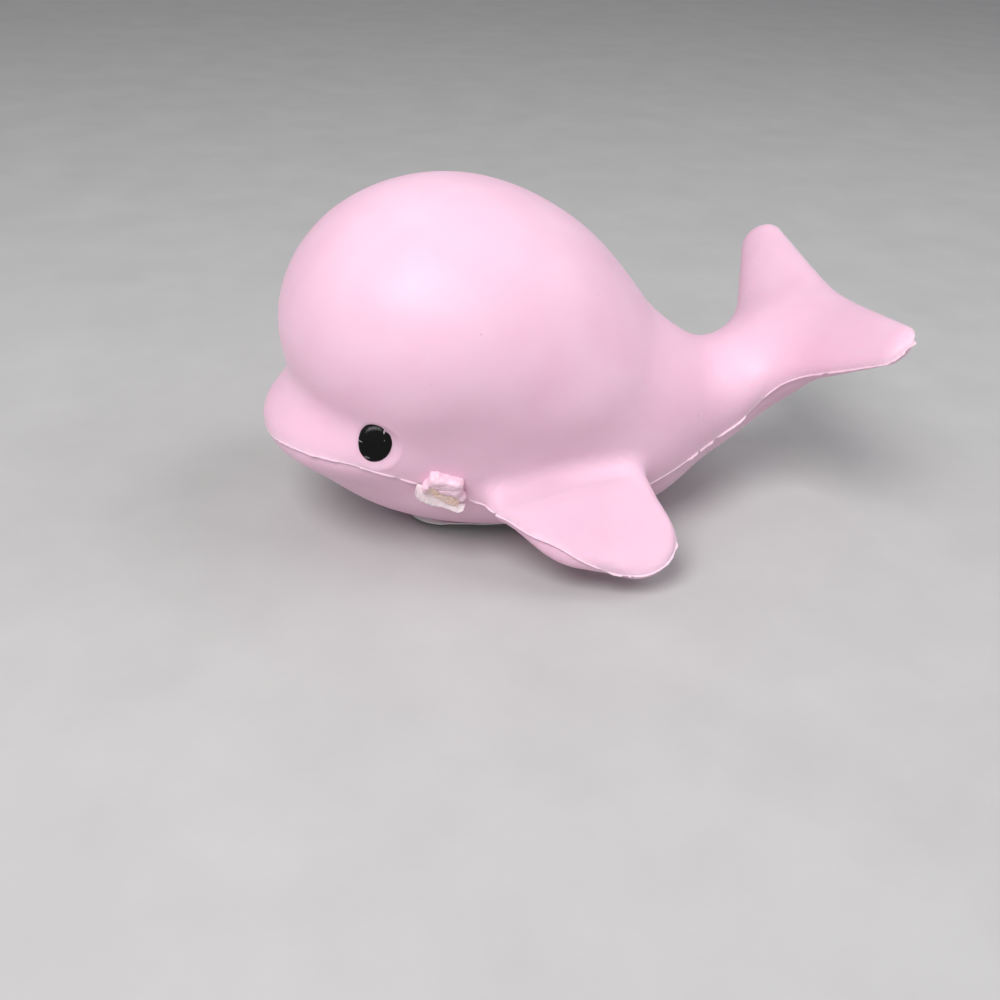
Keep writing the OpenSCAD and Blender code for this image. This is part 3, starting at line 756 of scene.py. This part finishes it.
def without_slivers(tri):
    """Drops the loose slivers that the cuts leave where two of them cross."""
    e = np.sort(np.stack([tri, np.roll(tri, -1, 1)], -1).reshape(-1, 2), 1)
    count, eid = np.unique(e, axis=0, return_inverse=True)
    eid = eid.reshape(-1, 3)
    lab = np.arange(len(tri))
    while True:
        low = np.full(len(count), len(tri))
        np.minimum.at(low, eid.ravel(), np.repeat(lab, 3))
        new = np.minimum(lab, low[eid].min(1))
        new = new[new]
        if (new == lab).all():
            break
        lab = new
    a, b, c = V[tri[:, 0]], V[tri[:, 1]], V[tri[:, 2]]
    area = np.bincount(lab, weights=np.linalg.norm(np.cross(b - a, c - a), axis=1) / 2)
    return tri[area[lab] > 0.05]


def coat_piece(name, pick, lower, zone, *nodes):
    tri = without_slivers(T[pick])
    used, inv = np.unique(tri, return_inverse=True)
    tri = inv.reshape(tri.shape)
    v, n = V[used], N[used]
    if lower:
        v = v - N0[used] * (0.38 * np.exp(-np.abs(G[used]) / 1.1))[:, None]
    ob = make(name, v, tri, COAT, n, values={"edge": EDGE[used] * (0.35 if lower else 1.0)})
    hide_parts(*nodes)
    bend(ob, zone)
    return ob


core = ~tail & ~flip
coat_piece("coat_upper", core & upper, False, "crown", "skin_upper")
coat_piece("coat_lower", core & ~upper, True, "body", "skin_lower")
coat_piece("coat_tail_upper", tail & ~lobe & upper, False, "tail", "skin_tail_upper", "tail_root")
coat_piece("coat_tail_lower", tail & ~lobe & ~upper, True, "tail", "skin_tail_lower")
for side, pick in (("left", left), ("right", ~left)):
    coat_piece(f"coat_fluke_{side}_upper", lobe & pick & upper, False, f"fluke_{side}", f"skin_fluke_{side}_upper", f"fluke_root_{side}")
    coat_piece(f"coat_fluke_{side}_lower", lobe & pick & ~upper, True, f"fluke_{side}", f"skin_fluke_{side}_lower")
    coat_piece(f"coat_flipper_{side}_upper", flip & pick & upper, False, f"flipper_{side}", f"skin_flipper_{side}_upper", f"flipper_root_{side}")
    coat_piece(f"coat_flipper_{side}_lower", flip & pick & ~upper, True, f"flipper_{side}", f"skin_flipper_{side}_lower")

# ---------------------------------------------------------------- foam inside the coat
def foam_piece(name, field, lo, hi, h, zone, *nodes):
    v, q = surface_nets(lambda p: np.maximum(sdf(p) + 0.95, field(p)), lo, hi, h)
    v[:, 2] = np.maximum(v[:, 2], 1.1)
    v = v + unit(gradient(sdf, v)) * np.minimum(0.12 * noise(v, 2.2, 8) - 0.1, 0)[:, None]
    ob = make(name, v, q, FOAM)
    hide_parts(*nodes)
    bend(ob, zone)


foam_piece("foam_body", lambda p: np.maximum(p[..., 0] - TAIL_X, flip_s(p) - FLIP_S), (-58, -32, -2), (28, 32, 68), 1.7, "crown", "core_body", "core_crown")
foam_piece("foam_tail", lambda p: np.maximum(TAIL_X + 0.3 - p[..., 0], fluke_side(p)), (23, -18, 4), (60, 18, 52), 1.4, "tail", "core_tail")
for side, y in (("left", -1), ("right", 1)):
    lo, hi = sorted((y * 10.0, y * 36.0))
    foam_piece(f"foam_fluke_{side}", lambda p: np.maximum(0.3 - fluke_side(p), -y * p[..., 1]), (36, lo, 22), (62, hi, 50), 0.9, f"fluke_{side}", f"core_fluke_{side}")
    lo, hi = sorted((y * 14.0, y * 41.0))
    foam_piece(f"foam_flipper_{side}", lambda p: np.maximum(FLIP_S + 0.3 - flip_s(p), -y * p[..., 1]), (-20, lo, 0), (24, hi, 24), 0.9, f"flipper_{side}", f"core_flipper_{side}")

# ---------------------------------------------------------------- flash along the parting line
def parting_loop():
    up = T[upper]
    E = np.concatenate([up[:, [0, 1]], up[:, [1, 2]], up[:, [2, 0]]])
    key = np.sort(E, 1)
    U, inv, cnt = np.unique(key, axis=0, return_inverse=True, return_counts=True)
    nxt = {}
    for p, q in E[cnt[inv.reshape(-1)] == 1]:
        nxt.setdefault(int(p), []).append(int(q))
    # walk the rim edge by edge; small side loops at pinched points are dropped
    best = []
    for s in list(nxt):
        while nxt[s]:
            run, place, k = [], {}, s
            while nxt.get(k):
                if k in place:
                    del_from = place[k]
                    if len(run) - del_from > len(best):
                        best = run[del_from:]
                    for v in run[del_from:]:
                        place.pop(v, None)
                    run = run[:del_from]
                place[k] = len(run)
                run.append(k)
                k = nxt[k].pop()
            if k in place and len(run) - place[k] > len(best):
                best = run[place[k]:]
    return np.array(best)


loop = V[parting_loop()]
ring = np.concatenate([loop, loop[:1]])
arc = np.concatenate([[0], np.cumsum(np.linalg.norm(np.diff(ring, axis=0), axis=1))])
DS = 0.3
S = np.arange(0, arc[-1], DS)
P = np.stack([np.interp(S, arc, ring[:, k]) for k in range(3)], 1)
w = 7
for _ in range(2):
    P = sum(np.roll(P, k, 0) for k in range(-w // 2 + 1, w // 2 + 1)) / len(range(-w // 2 + 1, w // 2 + 1))
P = project(sdf, P, 2)
TAN = unit(np.roll(P, -2, 0) - np.roll(P, 2, 0))
OUT = gradient(sdf, P)
OUT = unit(OUT - (OUT * TAN).sum(1, keepdims=True) * TAN)
UPW = np.cross(OUT, TAN)
UPW *= np.sign((UPW * gradient(parting, P)).sum(1, keepdims=True))

# ragged width: mostly a thin fin, broken in places, with a few torn tabs
fin = 0.36 + 0.12 * noise1(S, 4.0, 11) + 0.10 * noise1(S, 1.3, 12) + 0.08 * noise1(S, 0.6, 13)
gap = smoothstep(0.25, 0.45, noise1(S, 9.0, 15))
fin = fin * (1 - 0.75 * gap)
# short breaks with abrupt ends
fin = np.where((noise1(S, 2.6, 19) > 0.42) & (noise1(S, 0.8, 20) > -0.25), fin * 0.3, fin)
# how much of it is left: on the near side whole tabs and bare stretches, on the flukes' rear edges none
left_line = P[:, 1] < 0
amount = np.ones(len(S))
amount = np.where(left_line & (P[:, 0] > 14) & (fluke_side(P) < 0), np.interp(P[:, 0], [14, 19, 22, 23, 28.3, 28.7, 29.5, 30, 35.2, 36, 40, 41.5], [0.7, 0.5, 0.5, 1.4, 1.4, 0.15, 0.15, 1.2, 1.2, 0.15, 0.15, 0.7]), amount)
axis_x = FLUKE_A[0] + (FLUKE_B[0] - FLUKE_A[0]) * np.abs(P[:, 1]) / FLUKE_B[1]
amount = np.where((P[:, 0] > axis_x) & (P[:, 0] > 42), 0.12, amount)
amount = np.where(~left_line & (P[:, 0] > 36), 0.2, amount)
fin = fin * amount
sway = 0.06 * noise1(S, 3.0, 17) + 0.03 * noise1(S, 0.9, 18)


def tab(at, reach, height, sign=1):
    """A torn tab of flash near a point of the line."""
    global fin
    d = np.linalg.norm(P - np.array(at, float), axis=1)
    fin = np.maximum(fin, 0) if sign < 0 else fin
    k = np.clip(1 - d / reach, 0, 1)
    fin = fin + sign * height * k ** 0.8


fin = fin * (1 - 0.75 * smoothstep(52.6, 54.0, -P[:, 0]))
tab((53.4, -31.6, 44.5), 0.9, 1.5)
tab((51.0, -31.8, 42.6), 1.3, 0.5)
tab((49.6, -30.6, 41.6), 1.1, 0.75)
tab((48.2, -28.0, 39.8), 1.0, 0.55)
tab((47.2, -25.6, 38.6), 0.8, 0.4, -1)
tab((-33.2, -22.0, 20.2), 0.8, 0.5, -1)
tab((-47.0, -17.0, 22.9), 0.9, 0.25)
tab((2.0, -36.3, 6.3), 0.9, 0.5, -1)
tab((4.0, -36.6, 6.0), 0.8, 0.3)
tab((14.8, -33.0, 8.2), 0.9, 0.45)
tab((15.4, -28.4, 10.6), 0.8, 0.45)
fin = np.clip(fin, 0.05, 1.6)

ag, bg, cg = local(P, GATE_AT)
at_gate = (np.abs(ag) < 4.0) & (np.abs(cg) < 5)
zone = np.where(flip_s(P) > FLIP_S, 3, np.where(fluke_side(P) > 0, 2, np.where(P[:, 0] > TAIL_X, 1, 0)))
zone = zone * 2 + (P[:, 1] > 0)
zone = np.where((zone // 2 == 1) & (P[:, 0] > 45), 8, zone)
zone = np.where(at_gate, 9, zone)
brk = np.nonzero(zone != np.roll(zone, 1))[0]
runs = [np.arange(s, e if e > s else e + len(S)) % len(S) for s, e in zip(brk, np.roll(brk, -1))]


def flash_piece(name, idx, where, *nodes):
    p, o, u = P[idx], OUT[idx], UPW[idx]
    w, d = fin[idx][:, None], sway[idx][:, None]
    n = len(idx)
    end = np.minimum(np.arange(n), np.arange(n)[::-1])
    if where in ("body",):
        w = w * smoothstep(-0.5, 2, end)[:, None]
    prof = [(-0.30, -0.17), (0.12, -0.13), (0.62, -0.075), (1.0, 0.0), (0.62, 0.075), (0.12, 0.13), (-0.30, 0.17)]
    rows = []
    for f, h in prof:
        along = np.full((n, 1), f) if f < 0 else w * f
        rows.append(p + o * along + u * (h + d * max(f, 0)))
    m = len(prof)
    v = np.stack(rows, 1).reshape(-1, 3)
    F = []
    for k in range(n - 1):
        for j in range(m):
            F.append((k * m + j, k * m + (j + 1) % m, (k + 1) * m + (j + 1) % m, (k + 1) * m + j))
    F.append(tuple(range(m))[::-1])
    F.append(tuple((n - 1) * m + j for j in range(m)))
    tri = np.array([(f[0], f[1], f[2]) for f in F[:-2]])
    mean = np.cross(v[tri[:, 1]] - v[tri[:, 0]], v[tri[:, 2]] - v[tri[:, 0]])
    side = (mean * (v[tri].mean(1) - p[np.minimum(np.arange(len(tri)) // m, n - 1)])).sum()
    if side < 0:
        F = [tuple(reversed(f)) for f in F]
    ob = make(name, v, F, FLASH)
    if nodes:
        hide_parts(*nodes)
    bend(ob, where)


count = {}
names = {2: ("flash_edge_tail_left", "tail", "flash_tail_left"), 3: ("flash_edge_tail_right", "tail", "flash_tail_right"),
         4: ("flash_edge_fluke_left", "fluke_left", "flash_fluke_left"), 5: ("flash_edge_fluke_right", "fluke_right", "flash_fluke_right"),
         6: ("flash_edge_flipper_left", "flipper_left", "flash_flipper_left"), 7: ("flash_edge_flipper_right", "flipper_right", "flash_flipper_right"),
         8: ("flash_edge_notch", "tail_rigid", None)}
body_runs = []
for r in runs:
    z = int(zone[r[0]])
    if z == 9 or len(r) < 4:
        continue
    if z < 2:
        body_runs.append(r)
        continue
    nm, where, cad = names[z]
    count[nm] = count.get(nm, 0) + 1
    flash_piece(nm if count[nm] == 1 else f"{nm}_{count[nm]}", np.concatenate([r, [(r[-1] + 1) % len(S)]]), where, *([cad] if cad and count[nm] == 1 else []))
# the body's runs: join the two halves that meet at the nose, name them by place
joined = []
for r in body_runs:
    if joined and (joined[-1][-1] + 1) % len(S) == r[0]:
        joined[-1] = np.concatenate([joined[-1], r])
    else:
        joined.append(r)
if len(joined) > 1 and (joined[-1][-1] + 1) % len(S) == joined[0][0]:
    joined[0] = np.concatenate([joined.pop(), joined[0]])
for r in joined:
    c = P[r].mean(0)
    if P[r][:, 0].min() < -50:
        flash_piece("flash_edge_head", r, "body", "flash_head")
    elif c[0] > 10:
        s = "left" if c[1] < 0 else "right"
        flash_piece(f"flash_edge_rear_{s}", r, "body", f"flash_rear_{s}")
    else:
        flash_piece("flash_edge_side_left", r, "body", "flash_side_left")

# ---------------------------------------------------------------- eyes
def eye_piece(name, cad, sign):
    c, t, u, n = EYE_AT
    rings, seg = ((26, 84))
    ra, rb = 3.02, 3.88
    pts, uv = [], []
    ang = np.arange(seg) * 2 * math.pi / seg
    wob = 1 + 0.012 * noise1(ang * 6 / (2 * math.pi) * 3, 1.0, 21)
    # the paint stops short at the upper right
    bite = 0.10 * np.exp(-(((ang - 0.95 + math.pi) % (2 * math.pi) - math.pi) / 0.22) ** 2)
    for k in range(rings + 1):
        r = k / rings
        for j in range(seg):
            q = r * (wob[j] - bite[j] * r ** 3)
            pts.append((math.cos(ang[j]) * q * ra, math.sin(ang[j]) * q * rb, r))
            uv.append((math.cos(ang[j]) * q, math.sin(ang[j]) * q))
    pts = np.array(pts)
    flat = c + pts[:, :1] * t + pts[:, 1:2] * u
    # onto the body along n
    for _ in range(12):
        g = gradient(sdf, flat) @ n
        flat = flat - (sdf(flat) / np.where(np.abs(g) < 0.2, 0.2, g))[:, None] * n
    r = pts[:, 2]
    dome = 0.62 * np.sqrt(np.clip(1 - r ** 2.6, 0, 1)) + 0.03 * noise(np.c_[pts[:, :2], r * 0], 1.1, 23)
    floor = socket(pts[:, 0], pts[:, 1])
    high = flat + n * (np.minimum(floor, -0.30) + np.where(r > 0.995, -0.12, dome))[:, None]
    F = []
    for k in range(rings):
        for j in range(seg):
            a0, b0 = k * seg + j, k * seg + (j + 1) % seg
            F.append((a0, a0 + seg, b0 + seg, b0) if k else (j, j + seg, (j + 1) % seg + seg))
    # one pole point instead of the first ring
    high[:seg] = high[:seg].mean(0)
    F = [f for f in F]
    low = high[rings * seg:] - n * 0.35
    base = len(high)
    v = np.concatenate([high, low])
    for j in range(seg):
        a0, b0 = rings * seg + j, rings * seg + (j + 1) % seg
        F.append((a0, base + j, base + (j + 1) % seg, b0))
    F.append(tuple(base + j for j in range(seg))[::-1])
    uv = uv + uv[rings * seg:]
    uv = np.array(uv)
    if sign > 0:
        v = v * np.array([1, -1, 1])
        F = [tuple(reversed(f)) for f in F]
        uv = uv * np.array([-1, 1])
    ob = make(name, v, F, EYE, uv=uv)
    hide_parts(cad)
    bend(ob, "crown")


eye_piece("eye_dome_left", "eye_left", -1)
eye_piece("eye_dome_right", "eye_right", 1)

# ---------------------------------------------------------------- torn filling gate
GC, GT0, GU0, GN = GATE_AT
GT = unit(np.array([1, 0, -0.27]) - GN * (np.array([1, 0, -0.27]) @ GN))
GU = np.cross(GN, GT)


def gate_world(q):
    return GC + q[:, :1] * GT + q[:, 1:2] * GU + q[:, 2:] * GN


def gate_body(q):
    """Distance from the coat, for points in the gate's own axes."""
    return sdf(GC + q[..., :1] * GT + q[..., 1:2] * GU + q[..., 2:] * GN)


def lump(q):
    """Thick torn wad of coat above the foam, with a limb down each side of it."""
    a, b, c = q[..., 0], q[..., 1], q[..., 2]
    box = np.stack([np.abs(a + 0.1) - 2.3, np.abs(b - 0.07 * a - 1.75) - 0.95, np.abs(c - 0.55) - 0.6], -1)
    d = np.linalg.norm(np.maximum(box, 0), axis=-1) + np.minimum(box.max(-1), 0) - 0.78
    for cc, rr in (((-2.0, 2.6, 0.6), (1.0, 0.8, 1.1)), ((2.4, 1.2, 0.8), (0.9, 1.5, 1.1)), ((3.4, -0.5, 0.6), (0.95, 1.5, 1.1)), ((-2.95, -0.4, 0.6), (0.5, 1.3, 1.0))):
        d = smin(d, ellipsoid(q, cc, rr), 0.5)
    d = d + 0.26 * noise(q, 2.0, 31) + 0.13 * noise(q, 0.85, 32) + 0.05 * noise(q, 0.3, 38)
    # torn mouth over the foam
    mouth = np.interp(a, [-2.7, -1.2, -0.2, 2.0, 4.0], [1.55, 0.85, -0.05, -0.35, -0.55])
    cut = np.minimum(mouth + 0.22 * noise(q, 0.9, 33) + 0.10 * noise(q, 0.35, 39) - b, (a + 2.55) * 1.2)
    d = -smin(-d, -cut, 0.2)
    crease = np.abs(b - 1.3 - 0.35 * (a - 0.2) - 0.25 * noise1(a, 1.2, 34))
    return d + 0.16 * np.exp(-(crease / 0.16) ** 2 - ((a - 0.2) / 1.1) ** 2)


def foam_strip(q):
    a = q[..., 0]
    b = q[..., 1] - (-0.58 - 0.27 * a + 0.12 * noise1(a, 1.4, 37))
    half = 1.05 - 0.03 * (a - 0.3) ** 2
    box = np.stack([np.abs(a - 0.5) - 3.1, np.abs(b) - half, np.abs(q[..., 2] - 0.3) - 1.05], -1)
    d = np.linalg.norm(np.maximum(box, 0), axis=-1) + np.minimum(box.max(-1), 0) - 0.2
    return d + 0.16 * noise(q, 1.0, 35) + 0.09 * noise(q, 0.38, 36)


def gate_piece(name, f, lo, hi, mat, cad):
    v, q = surface_nets(f, lo, hi, 0.15)
    v = project(f, v, 1)
    ob = make(name, gate_world(v), q, mat)
    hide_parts(cad)
    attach(ob, "body")


gate_piece("gate_torn_lump", lump, (-5, -3.6, -1.6), (5.4, 4.8, 3.4), LUMP, "gate_lump")
gate_piece("gate_torn_foam", foam_strip, (-4.6, -3.2, -1.6), (5.2, 2.4, 2.6), FOAM, "gate_foam")


def flap_piece():
    na, nq = ((90, 22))
    A = np.linspace(-4.5, 4.8, na)
    upper = np.interp(A, [-4.5, -2.8, -1.6, 0, 1.4, 3, 4.2, 4.8], [-0.5, -0.55, -1.05, -1.45, -1.85, -1.95, -1.7, -1.5])
    lower = np.interp(A, [-4.5, -4.1, -2.9, -0.7, 1.1, 4.2, 4.8], [-1.2, -2.1, -3.0, -3.6, -3.45, -3.4, -2.6])
    lower = lower + 0.20 * noise1(A, 1.2, 41) + 0.15 * noise1(A, 0.5, 42) + 0.09 * noise1(A, 0.24, 44)
    top, bot = [], []
    for i, a0 in enumerate(A):
        for k in range(nq):
            q = k / (nq - 1)
            barb = 0.35 * max(1 - abs(a0 + 2.8) / 0.3, 0) + 0.35 * max(1 - abs(a0 + 0.6) / 0.28, 0)
            b0 = upper[i] + (lower[i] - upper[i]) * q - barb * max(q - 0.8, 0) * 5
            c0 = 0.8 + 1.35 * q - 0.25 * q * q + 0.26 * float(noise(np.array([[a0, q * 2.2, 0.0]]), 2.0, 43)[0]) + 0.04 * float(noise(np.array([[a0, q * 2.2, 0.0]]), 0.45, 45)[0])
            thick = 0.34 * (1 - 0.72 * q)
            top.append((a0, b0, c0 + thick / 2))
            bot.append((a0, b0 + 0.05, c0 - thick / 2))
    v = np.array(top + bot)
    M = na * nq
    F = []
    for i in range(na - 1):
        for k in range(nq - 1):
            j = i * nq + k
            F.append((j, j + 1, j + nq + 1, j + nq))
            F.append((M + j, M + j + nq, M + j + nq + 1, M + j + 1))
    for i in range(na - 1):
        for k in (0, nq - 1):
            j = i * nq + k
            f = (j, j + nq, M + j + nq, M + j)
            F.append(f if k == 0 else f[::-1])
    for k in range(nq - 1):
        for i in (0, na - 1):
            j = i * nq + k
            f = (j, M + j, M + j + 1, j + 1)
            F.append(f if i == 0 else f[::-1])
    # turn the faces outward
    nn = np.cross(v[F[0][1]] - v[F[0][0]], v[F[0][2]] - v[F[0][0]])
    if nn[2] < 0:
        F = [f[::-1] for f in F]
    ob = make("gate_torn_flap", gate_world(v), F, FLAP)
    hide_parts("gate_flap")
    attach(ob, "body")


flap_piece()

# ---------------------------------------------------------------- blank sticker under the belly
def belly_z(xy):
    lo = np.full(len(xy), -3.0)
    hi = np.full(len(xy), 12.0)
    for _ in range(30):
        m = (lo + hi) / 2
        inside = sdf(np.c_[xy, m]) < 0
        hi = np.where(inside, m, hi)
        lo = np.where(inside, lo, m)
    return press(hi)


def sticker_piece():
    rings, seg = ((30, 120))
    ang = np.arange(seg) * 2 * math.pi / seg
    rad = 13.1 * (1 - (1 - np.linspace(0, 1, rings + 1)[1:]) ** 1.6)
    xy = np.concatenate([[[0.0, 0.0]]] + [np.c_[r * np.cos(ang), r * np.sin(ang)] for r in rad]) + np.array([-15.5, 0.0])
    zb = belly_z(xy)
    d = np.hypot(xy[:, 0] + 15.5, xy[:, 1])
    # stuck along its back and sides; at the front its edge has come away and hangs down
    turn = np.degrees(np.arctan2(np.abs(xy[:, 1]), -(xy[:, 0] + 15.5)))
    hold = np.interp(turn, [0, 15, 25, 42, 52, 60, 74, 95], [0.10, 0.10, 0.22, 0.48, 0.63, 0.82, 0.95, 0.97])
    hold = 0.97 + (hold - 0.97) * np.clip((d - 10.9) / 2.2, 0, 1) ** 2
    z = 0.06 + hold * np.clip(zb - 0.25, 0, None)
    z = z + smoothstep(7, 12, d) * 0.08 * noise(np.c_[xy, xy[:, :1] * 0], 6.0, 51)
    z = np.minimum(z, zb - 0.16)
    z = np.maximum(z, 0.02)
    top = np.c_[xy, z + 0.11 + 0.12 * smoothstep(11.5, 13.0, d)]
    bot = np.c_[xy, z]
    M = len(top)
    F = []
    for j in range(seg):
        k = (j + 1) % seg
        F.append((0, 1 + j, 1 + k))
        F.append((M, M + 1 + k, M + 1 + j))
    for i in range(rings - 1):
        for j in range(seg):
            k = (j + 1) % seg
            a0, b0 = 1 + i * seg + j, 1 + i * seg + k
            F.append((a0, a0 + seg, b0 + seg, b0))
            F.append((M + a0, M + b0, M + b0 + seg, M + a0 + seg))
    e = 1 + (rings - 1) * seg
    for j in range(seg):
        k = (j + 1) % seg
        F.append((e + j, M + e + j, M + e + k, e + k))
    ob = make("belly_sticker_paper", np.concatenate([top, bot]), F, PAPER)
    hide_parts("belly_sticker")
    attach(ob, "body")


sticker_piece()

# ---------------------------------------------------------------- floor, light, camera
def floor_material():
    m, nt, bs = new_material("floor_pale")
    co = nt.nodes.new("ShaderNodeTexCoord").outputs["Object"]
    col = ramp(nt, noise_node(nt, co, 40, 4.0, 0.6), [(0.3, (0.47, 0.465, 0.46)), (0.7, (0.51, 0.505, 0.50))])
    nt.links.new(col, bs.inputs["Base Color"])
    bs.inputs["Roughness"].default_value = 0.75
    nt.links.new(bump(nt, noise_node(nt, co, 1200, 3.0, 0.6), 0.1, 0.0001), bs.inputs["Normal"])
    return m


me = bpy.data.meshes.new("floor")
me.from_pydata([(-3, -3, 0), (3, -3, 0), (3, 3, 0), (-3, 3, 0)], [], [(0, 1, 2, 3)])
me.materials.append(floor_material())
floor = bpy.data.objects.new("floor", me)
bpy.context.scene.collection.objects.link(floor)
floor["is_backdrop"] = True

sc = bpy.context.scene
sc.view_settings.view_transform = "Standard"
wd = bpy.data.worlds.new("studio")
sc.world = wd
wd.use_nodes = True
wd.node_tree.nodes["Background"].inputs[0].default_value = (0.95, 0.96, 1.0, 1)
wd.node_tree.nodes["Background"].inputs[1].default_value = 0.34


def area(name, at, aim, size, power, colour):
    ld = bpy.data.lights.new(name, "AREA")
    ld.shape = "DISK"
    ld.size = size
    ld.energy = power
    ld.color = colour
    o = bpy.data.objects.new(name, ld)
    sc.collection.objects.link(o)
    o.location = at
    o.rotation_euler = (Vector(aim) - Vector(at)).to_track_quat("-Z", "Y").to_euler()


area("key", (-0.29, -0.31, 0.55), (0, 0, 0.03), 0.38, 3.9, (1.0, 0.985, 0.98))
area("fill", (0.42, -0.14, 0.55), (0, 0, 0.03), 0.5, 1.7, (0.97, 0.98, 1.0))


def camera():
    az, el, roll = math.radians(-13.5), math.radians(31.7), math.radians(2.5)
    back = np.array([math.sin(az) * math.cos(el), -math.cos(az) * math.cos(el), math.sin(el)])
    right = unit(np.cross(-back, [0, 0, 1]))
    up = np.cross(right, -back)
    r2 = math.cos(roll) * right + math.sin(roll) * up
    u2 = -math.sin(roll) * right + math.cos(roll) * up
    at = np.array([-0.01035, 0, 0]) + back * 0.2235
    cd = bpy.data.cameras.new("photo_view")
    cd.sensor_width = 36
    cd.lens = 36 * 1.1
    cd.clip_start = 0.005
    o = bpy.data.objects.new("photo_view", cd)
    sc.collection.objects.link(o)
    o.matrix_world = Matrix([[r2[i], u2[i], back[i], at[i]] for i in range(3)] + [[0, 0, 0, 1]])
    sc.camera = o


camera()

lo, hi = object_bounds()
